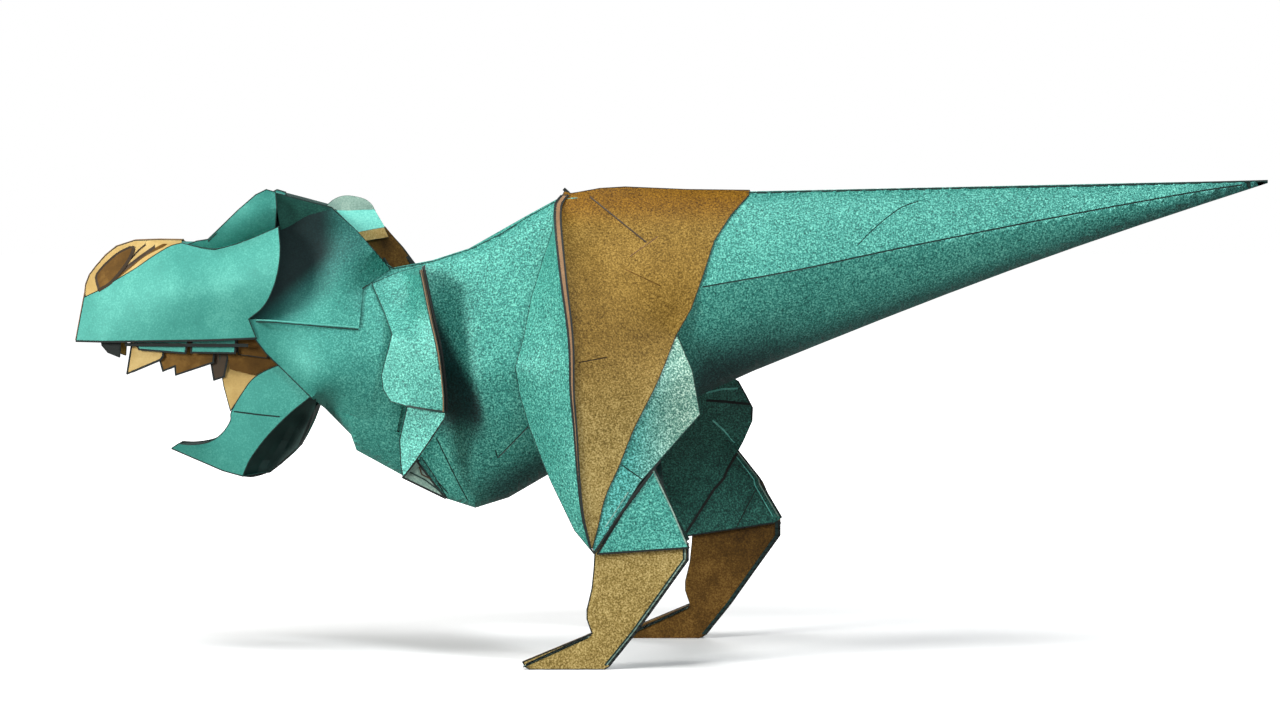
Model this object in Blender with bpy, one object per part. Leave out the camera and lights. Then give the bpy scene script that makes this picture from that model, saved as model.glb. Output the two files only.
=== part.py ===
"""Origami tyrannosaurus, folded from one sheet of two-coloured paper.

Metres, +Z up. +X runs toward the tail, and the head looks along -X.
The near side is -Y. The origin lies on the floor, below the middle of the length.
A fold corner is (back, up, out): its distance behind and above its reference corner,
and out from the mid-plane of the body, which both sides share.
"""
import math

import bmesh
import bpy
from mathutils import Vector
from mathutils.bvhtree import BVHTree
from mathutils.geometry import delaunay_2d_cdt

NEAR = -1
FAR = 1

# Thickness of the paper layers, which lie deeper at the hips, legs and tail
BODY_WALL = 0.0009
TAIL_WALL = 0.0019
HEAD_WALL = 0.0008
FLAP_WALL = 0.0010
ARM_WALL = 0.0014
HIP_WALL = 0.0013
LEG_WALL = 0.0024
LAP = 0.0004

# Body
BACK_HEIGHT = 0.1245
HIP_X = -0.028
HIP_LENGTH = 0.050
BODY_HALF_WIDTH = 0.016
UPPER_BULGE_SHARE = 0.45
LOWER_BULGE_SHARE = 0.80
SECTION_STEPS = 3
HOLLOW_LEAD = 0.004

# Tail
TAIL_LENGTH = 0.138
TAIL_ROOT_DEPTH = 0.0475
TAIL_CREASE_DROP = 0.0225
TAIL_WIDTH_SHARE = 0.94
TAIL_RISE = 0.003
TAIL_TIP_DEPTH = 0.0008
TAIL_BOW = 0.0018
TAIL_RINGS = 6
TAIL_HOLLOW_RINGS = 5

# Opening in the belly between the thighs, behind the front end of the hip
SLIT_START = 0.008
SLIT_LENGTH = 0.030
SLIT_WIDTH = 0.008

# Head: its snout is set off from the hip, and the rest from the snout's lower front corner
SNOUT_AHEAD = 0.132
SNOUT_DROP = 0.040
CHEEK_WIDTH = 0.0155
TOOTH_INSET = 0.00035
TOOTH_OVERLAP = 0.0008
BROW_OVERHANG = 0.0016
CROWN_SINK = 0.004
HEAD_BACK_LIFT = 0.0008
MOUTH_CORNER_WIDTH = 0.0085

# Lower jaw, whose tip is set off from the snout
JAW_BEHIND_SNOUT = 0.0245
JAW_OPENING = 0.0295

# Arms, whose shoulder is set off from the base of the neck
SHOULDER_BEHIND_NECK = 0.002
SHOULDER_DROP = 0.009
SHOULDER_STAND = 0.0055
SHOULDER_LIFT = 0.0006

# Hips and legs
HIP_LIFT = 0.0008
KNEE_BEHIND_HIP = 0.0075
KNEE_HEIGHT = 0.0305
KNEE_HALF_WIDTH = 0.0362
KNEE_DEPTH = 0.0245
KNEE_BACK_RISE = 0.0012
KNEE_BACK_INSET = 0.0004
LEG_TUCK = 0.0013
LEG_TOP_LAP = 0.0030
TOE_REACH = 0.0180
FOOT_LENGTH = 0.0225
FOOT_EDGE = 0.0018
FAR_LEG_SET_BACK = 0.0265
SET_BACK_TOP_SHARE = 0.39
SET_BACK_FOOT_SHARE = 0.85

# Rings of the neck from the snout's corner: ridge, widest line and keel as (back, up), and half width.
# The last one's ridge is the base of the neck.
NECK_RINGS = (
    ((0.0540, 0.0290), (0.0465, 0.0115), (0.0530, -0.0050), 0.0099),
    ((0.0700, 0.0305), (0.0630, 0.0035), (0.0645, -0.0170), 0.0122),
    ((0.0775, 0.0240), (0.0720, -0.0015), (0.0730, -0.0285), 0.0136),
)

# Rings of the torso: share of the way from the hip to the neck's base and of the back's height
# below it, for the same three lines, and share of the body's half width
TORSO_RING_SHARES = (
    ((0.862, 0.165), (0.917, 0.345), (0.826, 0.618), 0.91),
    ((0.670, 0.149), (0.661, 0.365), (0.606, 0.667), 0.74),
    ((0.486, 0.123), (0.404, 0.382), (0.459, 0.687), 1.0),
    ((0.202, 0.052), (0.193, 0.365), (0.294, 0.663), 1.0),
)

# Rings of the hip, as shares of its length back from its front end, and the rest as above
HIP_RING_SHARES = (
    ((0.00, 0.004), (0.02, 0.333), (-0.08, 0.606), 1.0),
    ((0.32, 0.0), (0.34, 0.273), (0.36, 0.514), 1.0),
    ((0.66, 0.0), (0.70, 0.209), (0.77, 0.430), 0.98),
)

# Snout, from its lower front corner
SNOUT_RIDGE = (
    (0.0025, 0.0150, 0.0), (0.0055, 0.0195, 0.0), (0.0100, 0.0248, 0.0), (0.0160, 0.0268, 0.0),
    (0.0285, 0.0268, 0.0), (0.0380, 0.0262, 0.0), (0.0465, 0.0290, 0.0), (0.0560, 0.0325, 0.0),
)
NOSE_FOLD = (
    (0.0022, 0.0120, 0.0018), (0.0065, 0.0135, 0.0040), (0.0165, 0.0190, 0.0055), (0.0285, 0.0255, 0.0070),
)
BROW_FOOT = ((0.0380, 0.0245, 0.0100), (0.0465, 0.0270, 0.0120), (0.0555, 0.0305, 0.0135))
CHEEK_EDGE = (
    (0.0560, 0.0245, CHEEK_WIDTH), (0.0555, 0.0185, CHEEK_WIDTH + 0.001),
    (0.0540, 0.0130, CHEEK_WIDTH + 0.001), (0.0515, 0.0090, CHEEK_WIDTH),
    (0.0475, 0.0060, CHEEK_WIDTH - 0.001),
)
LIP = (
    (0.0, 0.0, 0.0022), (0.0080, 0.0, 0.0066), (0.0220, 0.0003, 0.0098), (0.0360, 0.0006, 0.0121),
    (0.0495, 0.0012, CHEEK_WIDTH - 0.002),
)

# Brow flap: its upper edge, and the corner at its front end
BROW_EDGE = (
    (0.0360, 0.0275, 0.0089), (0.0385, 0.0290, 0.0105), (0.0450, 0.0350, 0.0124),
    (0.0500, 0.0390, 0.0135), (0.0525, 0.0402, 0.0135), (0.0550, 0.0397, 0.0131),
)
BROW_FRONT = (0.0300, 0.0250, 0.0081)

# Back of the head, and the crest that stands up on the far side
HEAD_BACK_FRONT = ((0.0500, 0.0300, 0.0100), (0.0545, 0.0395, 0.0125))
HEAD_BACK_APEX = (0.0695, 0.0358, 0.0105)
HEAD_BACK_REAR = (0.0762, 0.0295, 0.0085)
HEAD_BACK_NAPE = ((0.0840, 0.0190), (0.0800, 0.0110), (0.0765, 0.0040))
HEAD_BACK_FOOT = ((0.0615, 0.0048, 0.0135), (0.0460, 0.0040, 0.0110))
CREST_VALLEY = ((0.0510, 0.0345, 0.0), (0.0690, 0.0340, 0.0), (0.0765, 0.0265, 0.0))
FAR_CREST = (
    (0.0650, 0.0340, 0.0070), (0.0685, 0.0378, 0.0085), (0.0720, 0.0385, 0.0095),
    (0.0765, 0.0380, 0.0095), (0.0790, 0.0365, 0.0095), (0.0815, 0.0310, 0.0085),
    (0.0870, 0.0245, 0.0070), (0.0900, 0.0205, 0.0055), (0.0840, 0.0170, 0.0055),
)

# Teeth and mouth corners as (back, up)
TEETH = (
    (0.0075, -0.0005), (0.0115, -0.0035), (0.0120, -0.0008), (0.0135, -0.0010), (0.0140, -0.0090),
    (0.0225, -0.0050), (0.0235, -0.0085), (0.0265, -0.0070), (0.0270, -0.0090), (0.0365, -0.0055),
    (0.0385, -0.0105), (0.0400, -0.0100), (0.0420, -0.0040), (0.0480, -0.0020),
)
TEETH_ROOT = (0.0479, 0.0359, 0.0219, 0.0079, 0.0074)
MOUTH_CORNER = (
    (0.0385, -0.0010), (0.0395, -0.0065), (0.0420, -0.0185), (0.0500, -0.0105),
    (0.0600, -0.0050), (0.0600, 0.0030), (0.0385, 0.0030),
)

# Lower jaw, from its tip
JAW_UPPER = (
    (0.0, 0.0, 0.0015), (0.0060, 0.0018, 0.0038), (0.0110, 0.0022, 0.0052), (0.0150, 0.0045, 0.0065),
    (0.0175, 0.0085, 0.0074), (0.0180, 0.0115, 0.0080), (0.0205, 0.0155, 0.0084), (0.0240, 0.0202, 0.0087),
    (0.0310, 0.0232, 0.0095),
)
JAW_REAR = (0.0400, 0.0145, 0.0105)
JAW_BEND = (
    (0.0335, 0.0105, 0.0100), (0.0275, 0.0045, 0.0095), (0.0230, -0.0015, 0.0089),
    (0.0205, -0.0055, 0.0084), (0.0145, -0.0050, 0.0063), (0.0080, -0.0030, 0.0040),
)
JAW_KEEL = (
    (0.0395, 0.0125, 0.0), (0.0375, 0.0065, 0.0), (0.0345, 0.0005, 0.0), (0.0300, -0.0040, 0.0),
    (0.0265, -0.0066, 0.0), (0.0220, -0.0082, 0.0), (0.0145, -0.0062, 0.0), (0.0080, -0.0040, 0.0),
    (0.0, -0.0006, 0.0),
)

# Arm, from the top front corner of the shoulder flap.
# Its roots lie on the skin as (back, up, lift), and its free corners as (back, up, inside the edge).
SHOULDER_ROOT = (
    (0.0, 0.0, SHOULDER_LIFT), (0.0070, 0.0035, SHOULDER_LIFT), (0.0132, 0.0052, SHOULDER_LIFT),
)
SHOULDER_FREE = (
    (0.0165, -0.0070, 0.0030), (0.0190, -0.0175, 0.0), (0.0205, -0.0280, -0.0003), (0.0205, -0.0330, 0.0),
    (0.0050, -0.0305, 0.0025), (0.0032, -0.0245, 0.0035), (0.0047, -0.0188, 0.0040),
)
SHOULDER_FRONT = ((0.0065, -0.0125, 0.0012), (0.0005, -0.0070, -LAP))
SHOULDER_LAID = ((0.0050, -0.0040, 0.0012), (0.0105, -0.0010, 0.0016))
FOREARM = (
    (0.0090, -0.0295, 0.0010), (0.0195, -0.0305, 0.0008), (0.0210, -0.0340, 0.0012),
    (0.0170, -0.0400, 0.0025), (0.0130, -0.0455, 0.0035), (0.0090, -0.0510, 0.0045),
    (0.0080, -0.0420, 0.0035),
)
HAND = (
    (0.0125, -0.0440, 0.0040), (0.0180, -0.0530, 0.0055), (0.0205, -0.0565, 0.0060),
    (0.0090, -0.0505, 0.0050),
)

# Hip corners as shares: of the hip's length back from its front end, of the way down to the knee,
# and of the knee's half width. Corners on the body skin have two, and a third counts their lifts.
HIP_RIDGE_SHARES = ((0.32, 0.0, 0.0), (0.64, 0.0, 0.0), (0.98, 0.0, 0.0))
SEAM_SHARES = (
    (-0.064, 0.048, 0.124), (-0.060, 0.106, 0.318), (-0.030, 0.239, 0.525), (0.020, 0.415, 0.690),
    (0.030, 0.553, 0.787), (0.040, 0.654, 0.843), (0.070, 0.787, 0.945), (0.090, 0.894, 0.978),
)
STRIP_SKIN_SHARES = ((-0.13, 0.191), (-0.19, 0.298), (-0.23, 0.410), (-0.27, 0.495), (-0.25, 0.569))
STRIP_SHARES = (
    (-0.20, 0.665, 0.483), (-0.13, 0.755, 0.566), (-0.07, 0.809, 0.738), (0.05, 0.931, 0.917),
)
EDGE_SKIN_SHARES = (
    (0.87, 0.069, 1.0), (0.78, 0.138, 1.0), (0.72, 0.239, 1.5), (0.66, 0.330, 2.5), (0.58, 0.404, 5.0),
)
SADDLE_SKIN_SHARES = (
    (0.16, 0.064, 1.0), (0.40, 0.064, 1.0), (0.64, 0.064, 1.0), (0.16, 0.133, 1.0),
    (0.40, 0.133, 1.0), (0.64, 0.133, 1.0), (0.52, 0.261, 2.0),
)
HIP_LOW_SHARES = ((0.48, 0.532, 0.677), (0.36, 0.660, 0.773), (0.28, 0.761, 0.843), (0.21, 0.846, 0.898))
THIGH_BACK_SHARES = ((0.67, 0.505, 0.566), (0.70, 0.628, 0.622), (0.48, 0.750, 0.801))
INNER_FRONT_SHARES = ((-0.16, 0.686, 0.414), (-0.06, 0.802, 0.718))
INNER_BACK_SHARES = ((0.49, 0.755, 0.691), (0.67, 0.628, 0.525), (0.65, 0.495, 0.401))

# Inner layer behind the knee, as (back, up) from its front and back corners
INNER_KNEE_FRONT = ((-0.0044, 0.0065), (0.0006, 0.0006))
INNER_KNEE_BACK = (-0.0005, 0.0018)

# Lower leg, as shares of the knee's depth behind its front corner and of its height
SHIN_SHARES = ((-0.02, 0.69), (-0.08, 0.51), (-0.08, 0.43), (-0.02, 0.31))
HEEL_SHARES = ((0.05, 0.033), (0.25, 0.31))
CALF_SHARE = 0.934


def clear_scene():
    for old in list(bpy.data.objects):
        bpy.data.objects.remove(old, do_unlink=True)


def make_object(name, points, faces):
    mesh = bpy.data.meshes.new(name)
    mesh.from_pydata([tuple(p) for p in points], [], faces)
    bm = bmesh.new()
    bm.from_mesh(mesh)
    bmesh.ops.triangulate(bm, faces=bm.faces)
    bmesh.ops.recalc_face_normals(bm, faces=bm.faces)
    bm.to_mesh(mesh)
    bm.free()
    item = bpy.data.objects.new(name, mesh)
    bpy.context.scene.collection.objects.link(item)
    return item


def combine(base, tool, operation):
    """Join or subtract a solid, and keep the result as the base's own mesh."""
    change = base.modifiers.new(operation, "BOOLEAN")
    change.operation = operation
    change.solver = "EXACT"
    change.object = tool
    graph = bpy.context.evaluated_depsgraph_get()
    mesh = bpy.data.meshes.new_from_object(base.evaluated_get(graph))
    base.modifiers.clear()
    base.data = mesh
    bpy.data.objects.remove(tool, do_unlink=True)


# Body skin

def between(start, end, share):
    return tuple(a + (b - a) * share for a, b in zip(start, end))


def neck_base():
    x, out, z = head(*NECK_RINGS[-1][0])
    return x, z


def body_rings():
    """Rings from the neck to the hip, each as ridge, widest line, keel and half width."""
    rings = []
    for *lines, half in NECK_RINGS:
        corners = [head(*line) for line in lines]
        rings.append([(x, z) for x, out, z in corners] + [half])
    reach = neck_base()[0] - HIP_X
    for shares, length in ((TORSO_RING_SHARES, reach), (HIP_RING_SHARES, HIP_LENGTH)):
        for *lines, width in shares:
            corners = [(HIP_X + length * along, BACK_HEIGHT * (1.0 - below)) for along, below in lines]
            rings.append(corners + [width * BODY_HALF_WIDTH])
    return rings


def tail_rings():
    rings = []
    for step in range(TAIL_RINGS + 1):
        share = step / TAIL_RINGS
        x = HIP_X + HIP_LENGTH + TAIL_LENGTH * share
        top = BACK_HEIGHT + TAIL_RISE * share
        bow = TAIL_BOW * math.sin(math.pi * share)
        depth = TAIL_TIP_DEPTH + TAIL_ROOT_DEPTH * (1.0 - share) - bow
        crease = TAIL_TIP_DEPTH / 2 + TAIL_CREASE_DROP * (1.0 - share)
        half = TAIL_WIDTH_SHARE * BODY_HALF_WIDTH * (1.0 - share) + TAIL_TIP_DEPTH * share
        rings.append([(x, top), (x, top - crease), (x, top - depth), half])
    return rings


def bent_panel(start, end, out_start, out_end, bulge):
    """Points between two folds: a flat panel, bent out by a share of a quarter of an ellipse."""
    points = []
    for step in range(1, SECTION_STEPS + 1):
        share = step / (SECTION_STEPS + 1)
        x, z = between(start, end, share)
        flat = out_start + (out_end - out_start) * share
        if out_end > out_start:
            full = out_end * math.sin(math.acos(1.0 - share))
        else:
            full = out_start * math.sin(math.acos(share))
        points.append((x, flat + (full - flat) * bulge, z))
    return points


def section(ring, wall=0.0):
    """One closed ring of the skin: down the far side from the ridge, and up the near side."""
    ridge, side, keel, full = ring
    half = full - wall
    top = (ridge[0], ridge[1] - wall * 1.5)
    bottom = (keel[0], keel[1] + wall * 1.5)
    flank = bent_panel(top, side, 0.0, half, UPPER_BULGE_SHARE)
    flank.append((side[0], half, side[1]))
    flank += bent_panel(side, bottom, half, 0.0, LOWER_BULGE_SHARE)
    near = [(x, -out, z) for x, out, z in reversed(flank)]
    return [(top[0], 0.0, top[1])] + flank + [(bottom[0], 0.0, bottom[1])] + near


def loft(name, sections):
    """Closed solid through rings of equal count, with a flat cap at each end."""
    count = len(sections[0])
    points = [point for ring in sections for point in ring]
    faces = []
    for row in range(len(sections) - 1):
        for k in range(count):
            a = row * count + k
            b = row * count + (k + 1) % count
            faces.append((a, a + count, b + count, b))
    last = len(points) - count
    faces.append(tuple(range(count)))
    faces.append(tuple(reversed(range(last, last + count))))
    return make_object(name, points, faces)


def box(name, low, high):
    points = [(x, y, z) for x in (low[0], high[0]) for y in (low[1], high[1]) for z in (low[2], high[2])]
    faces = [(0, 1, 3, 2), (4, 6, 7, 5), (0, 4, 5, 1), (2, 3, 7, 6), (0, 2, 6, 4), (1, 5, 7, 3)]
    return make_object(name, points, faces)


def body_skin():
    """The hollow neck, torso and tail, open at the neck and under the belly."""
    body = body_rings()
    tail = tail_rings()
    skin = loft("folded_sheet", [section(ring) for ring in body + tail])
    inside = [section(ring, BODY_WALL) for ring in body]
    inside += [section(ring, TAIL_WALL) for ring in tail[:TAIL_HOLLOW_RINGS]]
    mouth = [(x - HOLLOW_LEAD, y, z) for x, y, z in inside[0]]
    combine(skin, loft("hollow", [mouth] + inside), "DIFFERENCE")
    start = HIP_X + SLIT_START
    below = min(ring[2][1] for ring in body)
    above = body[-1][1][1]
    slit = box("slit", (start, -SLIT_WIDTH / 2, below), (start + SLIT_LENGTH, SLIT_WIDTH / 2, above))
    combine(skin, slit, "DIFFERENCE")
    return skin


class SkinReader:
    """Tells how far out the body skin lies at a place seen from the side."""

    def __init__(self, skin):
        points = [vert.co.copy() for vert in skin.data.vertices]
        faces = [tuple(face.vertices) for face in skin.data.polygons]
        self.tree = BVHTree.FromPolygons(points, faces)

    def corner(self, x, z, lift):
        start = Vector((x, -BODY_HALF_WIDTH * 4, z))
        place = self.tree.ray_cast(start, Vector((0.0, 1.0, 0.0)))[0]
        out = lift if place is None else lift - place.y
        return (x, out, z)


# Sheets

def panel(outline, side, flip=False, inside=()):
    """Triangles over an outline of (x, out, z) corners, facing away from the mid-plane."""
    corners = list(outline) + list(inside)
    flat = [Vector((x, z)) for x, out, z in corners]
    ring = list(range(len(outline)))
    _, _, faces, origin, _, _ = delaunay_2d_cdt(flat, [], [ring], 1, 1e-7)
    sources = [corners[ids[0]] for ids in origin]
    points = [Vector((x, side * out, z)) for x, out, z in sources]
    turned = (side == FAR) != flip
    return points, [tuple(reversed(face)) if turned else tuple(face) for face in faces]


def even_offset(vert):
    """The way out at a corner, long enough to keep the wall even across its folds."""
    normals = []
    for face in vert.link_faces:
        if all(face.normal.dot(other) < 0.999 for other in normals):
            normals.append(face.normal.copy())
    mean = sum(normals, Vector((0.0, 0.0, 0.0))).normalized()
    tightest = min(mean.dot(normal) for normal in normals)
    return mean / max(tightest, 0.55)


def sheet(name, panels, wall):
    """Panels welded along the fold corners they share, and thickened inward."""
    bm = bmesh.new()
    for points, triangles in panels:
        made = [bm.verts.new(point) for point in points]
        for triangle in triangles:
            bm.faces.new([made[i] for i in triangle])
    bmesh.ops.remove_doubles(bm, verts=bm.verts, dist=1e-6)
    bm.normal_update()
    bm.verts.index_update()
    outer = [vert.co.copy() for vert in bm.verts]
    inner = [vert.co - even_offset(vert) * wall for vert in bm.verts]
    count = len(outer)
    faces = []
    for face in bm.faces:
        ids = [vert.index for vert in face.verts]
        faces.append(tuple(ids))
        faces.append(tuple(i + count for i in reversed(ids)))
    for edge in bm.edges:
        if edge.is_boundary:
            loop = edge.link_loops[0]
            a = loop.vert.index
            b = loop.link_loop_next.vert.index
            faces.append((b, a, a + count, b + count))
    bm.free()
    return make_object(name, outer + inner, faces)


def flap(name, corners, side, wall=FLAP_WALL):
    return sheet(name, [panel(corners, side)], wall)


def backward(corners):
    return list(reversed(corners))


# Head

def head(back, up, out=0.0):
    return (HIP_X - SNOUT_AHEAD + back, out, BACK_HEIGHT - SNOUT_DROP + up)


def head_line(corners):
    return [head(*corner) for corner in corners]


def lip_corner(back):
    for start, end in zip(LIP, LIP[1:]):
        if back <= end[0]:
            return between(start, end, (back - start[0]) / (end[0] - start[0]))
    return LIP[-1]


def blunt_nose(lip, fold, ridge):
    """The narrow face between the two sides of the snout."""
    points = [Vector(head(0.0, 0.0)), Vector(ridge)]
    for side in (NEAR, FAR):
        points.append(Vector((lip[0], side * lip[1], lip[2])))
        points.append(Vector((fold[0], side * fold[1], fold[2])))
    return points, [(0, 2, 3), (0, 3, 1), (0, 5, 4), (0, 1, 5)]


def snout():
    ridge = head_line(SNOUT_RIDGE)
    fold = head_line(NOSE_FOLD + BROW_FOOT)
    lip = head_line(LIP)
    panels = [blunt_nose(lip[0], fold[0], ridge[0])]
    for side in (NEAR, FAR):
        panels.append(panel(fold + backward(ridge), side))
        panels.append(panel(fold + head_line(CHEEK_EDGE) + backward(lip), side))
    return [sheet("snout", panels, HEAD_WALL)]


def brows():
    """A flap that overhangs each eye, and the valley fold between the two."""
    edge = head_line(BROW_EDGE)
    foot = [(x, out + BROW_OVERHANG, z) for x, out, z in head_line(BROW_FOOT)]
    outline = edge + backward(foot) + [head(*BROW_FRONT)]
    crown_edge = [(x, out - LAP, z - LAP) for x, out, z in edge]
    valley = [(x, 0.0, z - CROWN_SINK) for x, out, z in edge]
    solids = [flap("brow", outline, side) for side in (NEAR, FAR)]
    crown = [panel(crown_edge + backward(valley), side, flip=True) for side in (NEAR, FAR)]
    return solids + [sheet("crown", crown, FLAP_WALL)]


def head_back(skin):
    """The panels behind the cheeks, sunk at the front and laid on the neck at the rear."""
    apex = head(*HEAD_BACK_APEX)
    rear = head(*HEAD_BACK_REAR)
    nape = []
    for back, up in HEAD_BACK_NAPE:
        x, out, z = head(back, up)
        nape.append(skin.corner(x, z, HEAD_BACK_LIFT))
    front = head_line(HEAD_BACK_FRONT)
    outline = front + [apex, rear] + nape + head_line(HEAD_BACK_FOOT)
    solids = [flap("head_back", outline, side) for side in (NEAR, FAR)]
    edge = [(x, out - LAP, z - FLAP_WALL) for x, out, z in (front[1], apex, rear)]
    valley = head_line(CREST_VALLEY)
    roof = [panel(edge + backward(valley), side, flip=True) for side in (NEAR, FAR)]
    return solids + [sheet("crest_roof", roof, FLAP_WALL), flap("far_crest", head_line(FAR_CREST), FAR)]


def teeth():
    """The inner lip, with saw teeth along its lower edge."""
    outline = [head(back, up, lip_corner(back)[2] - TOOTH_INSET) for back, up in TEETH]
    for back in TEETH_ROOT:
        lip = lip_corner(back)
        outline.append(head(back, lip[1] + TOOTH_OVERLAP, lip[2] - TOOTH_INSET))
    return [flap("teeth", outline, side) for side in (NEAR, FAR)]


def mouth_corners():
    outline = [head(back, up, MOUTH_CORNER_WIDTH) for back, up in MOUTH_CORNER]
    return [flap("mouth_corner", outline, side) for side in (NEAR, FAR)]


def lower_jaw():
    """A trough of two side panels, which turn in to a keel along their lower edge."""
    def line(corners):
        return [head(JAW_BEHIND_SNOUT + back, up - JAW_OPENING, out) for back, up, out in corners]

    upper = line(JAW_UPPER)
    rear = line((JAW_REAR,))
    bend = line(JAW_BEND)
    panels = []
    for side in (NEAR, FAR):
        panels.append(panel(upper + rear + bend, side))
        panels.append(panel(upper[:1] + backward(bend) + rear + line(JAW_KEEL), side))
    return [sheet("jaw", panels, FLAP_WALL)]


# Arms

def arm(back, up):
    x, z = neck_base()
    return (x + SHOULDER_BEHIND_NECK + back, z - SHOULDER_DROP + up)


def arm_free(corners):
    edge = BODY_HALF_WIDTH + SHOULDER_STAND
    line = []
    for back, up, inside in corners:
        x, z = arm(back, up)
        line.append((x, edge - inside, z))
    return line


def arm_on_skin(corners, skin):
    line = []
    for back, up, lift in corners:
        x, z = arm(back, up)
        line.append(skin.corner(x, z, lift))
    return line


def arms(skin):
    outline = arm_on_skin(SHOULDER_ROOT, skin) + arm_free(SHOULDER_FREE) + arm_on_skin(SHOULDER_FRONT, skin)
    laid = arm_on_skin(SHOULDER_LAID, skin)
    solids = []
    for side in (NEAR, FAR):
        solids.append(sheet("shoulder", [panel(outline, side, inside=laid)], ARM_WALL))
        solids.append(flap("forearm", arm_free(FOREARM), side, ARM_WALL))
        solids.append(flap("hand", arm_free(HAND), side))
    return solids


# Hips and legs

def hip_height(share):
    return BACK_HEIGHT - share * (BACK_HEIGHT - KNEE_HEIGHT)


def hip(back, down, spread):
    return (HIP_X + back * HIP_LENGTH, spread * KNEE_HALF_WIDTH, hip_height(down))


def hip_line(corners):
    return [hip(*corner) for corner in corners]


def hip_on_skin(corners, skin):
    line = []
    for corner in corners:
        lifts = corner[2] if len(corner) > 2 else 1.0
        line.append(skin.corner(HIP_X + corner[0] * HIP_LENGTH, hip_height(corner[1]), HIP_LIFT * lifts))
    return line


def knee(back, up, inside):
    return (HIP_X + KNEE_BEHIND_HIP + back, KNEE_HALF_WIDTH - inside, KNEE_HEIGHT + up)


def placed(corners, side):
    """The far leg stands behind the near one, and leans back to it from the hip down."""
    if side == NEAR:
        return corners
    high = hip_height(SET_BACK_TOP_SHARE)
    low = hip_height(SET_BACK_FOOT_SHARE)
    line = []
    for x, out, z in corners:
        share = min(max((high - z) / (high - low), 0.0), 1.0)
        line.append((x + FAR_LEG_SET_BACK * share, out, z))
    return line


def hips(skin):
    ridge = [(x, out, z + HIP_LIFT) for x, out, z in hip_line(((0.0, 0.0, 0.0),) + HIP_RIDGE_SHARES)]
    seam = hip_line(SEAM_SHARES)
    knee_tip = knee(0.0, 0.0, 0.0)
    knee_back = knee(KNEE_DEPTH, KNEE_BACK_RISE, KNEE_BACK_INSET)
    strip = hip_on_skin(STRIP_SKIN_SHARES, skin) + hip_line(STRIP_SHARES)
    edge = hip_on_skin(EDGE_SKIN_SHARES, skin)
    low = hip_line(HIP_LOW_SHARES)
    back = hip_line(THIGH_BACK_SHARES)
    saddle = hip_on_skin(SADDLE_SKIN_SHARES, skin)
    front_outline = seam[1:2] + strip + [knee_tip] + backward(seam[2:])
    hip_outline = ridge[:1] + seam + [knee_tip] + backward(low) + backward(edge) + backward(ridge[1:])
    thigh_outline = [knee_tip] + backward(back) + edge[-1:] + low
    panels = []
    for side in (NEAR, FAR):
        panels.append(panel(placed(front_outline, side), side))
        panels.append(panel(placed(hip_outline, side), side, inside=placed(saddle, side)))
        panels.append(panel(placed(thigh_outline, side), side))
        panels.append(panel(placed([knee_tip, knee_back, back[-1]], side), side))
    return [sheet("hips", panels, HIP_WALL)]


def inner_thighs():
    """The layer behind each hip, from the side of the belly down behind the lower leg."""
    behind_leg = LEG_TUCK + LEG_WALL - LAP
    outline = hip_line(INNER_FRONT_SHARES)
    outline += [knee(back, up, behind_leg) for back, up in INNER_KNEE_FRONT]
    outline.append(knee(KNEE_DEPTH + INNER_KNEE_BACK[0], INNER_KNEE_BACK[1], behind_leg))
    outline += hip_line(INNER_BACK_SHARES)
    return [flap("inner_thigh", placed(outline, side), side) for side in (NEAR, FAR)]


def lower_legs():
    """Flat layered legs, each with a foot whose sole lies on the floor."""
    front = HIP_X + KNEE_BEHIND_HIP
    toe = front - TOE_REACH
    heel = toe + FOOT_LENGTH
    top = KNEE_HEIGHT + LEG_TOP_LAP
    side_view = [(front + LAP, top)]
    side_view += [(front + back * KNEE_DEPTH, up * KNEE_HEIGHT) for back, up in SHIN_SHARES]
    side_view += [(toe, FOOT_EDGE), (toe + FOOT_EDGE / 2, 0.0), (heel, 0.0)]
    side_view += [(heel + back * KNEE_DEPTH, up * KNEE_HEIGHT) for back, up in HEEL_SHARES]
    side_view += [(front + KNEE_DEPTH, CALF_SHARE * KNEE_HEIGHT), (front + KNEE_DEPTH, top)]
    outline = [(x, KNEE_HALF_WIDTH - LEG_TUCK, z) for x, z in side_view]
    return [flap("lower_leg", placed(outline, side), side, LEG_WALL) for side in (NEAR, FAR)]


# Assembly

def teal_paper():
    paper = bpy.data.materials.new("teal_paper")
    paper.use_nodes = True
    shader = paper.node_tree.nodes["Principled BSDF"]
    shader.inputs["Base Color"].default_value = (0.07, 0.38, 0.31, 1.0)
    shader.inputs["Roughness"].default_value = 0.5
    shader.inputs["Metallic"].default_value = 0.15
    return paper


def build():
    clear_scene()
    body = body_skin()
    skin = SkinReader(body)
    solids = snout() + brows() + head_back(skin) + teeth() + mouth_corners() + lower_jaw()
    solids += arms(skin) + hips(skin) + inner_thighs() + lower_legs()
    for solid in solids:
        combine(body, solid, "UNION")
    body.data.materials.clear()
    body.data.materials.append(teal_paper())


build()
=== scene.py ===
"""Origami tyrannosaurus: teal paper with a golden brown reverse, folded over its solid.

Sizes are in millimetres in the part's own frame and become metres when a mesh is made.
A corner is (x, out, z), where out is the distance from the mid-plane of the body.
"""
import math

import bpy
import numpy as np
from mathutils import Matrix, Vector, noise
from mathutils.bvhtree import BVHTree
from mathutils.geometry import delaunay_2d_cdt


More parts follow.
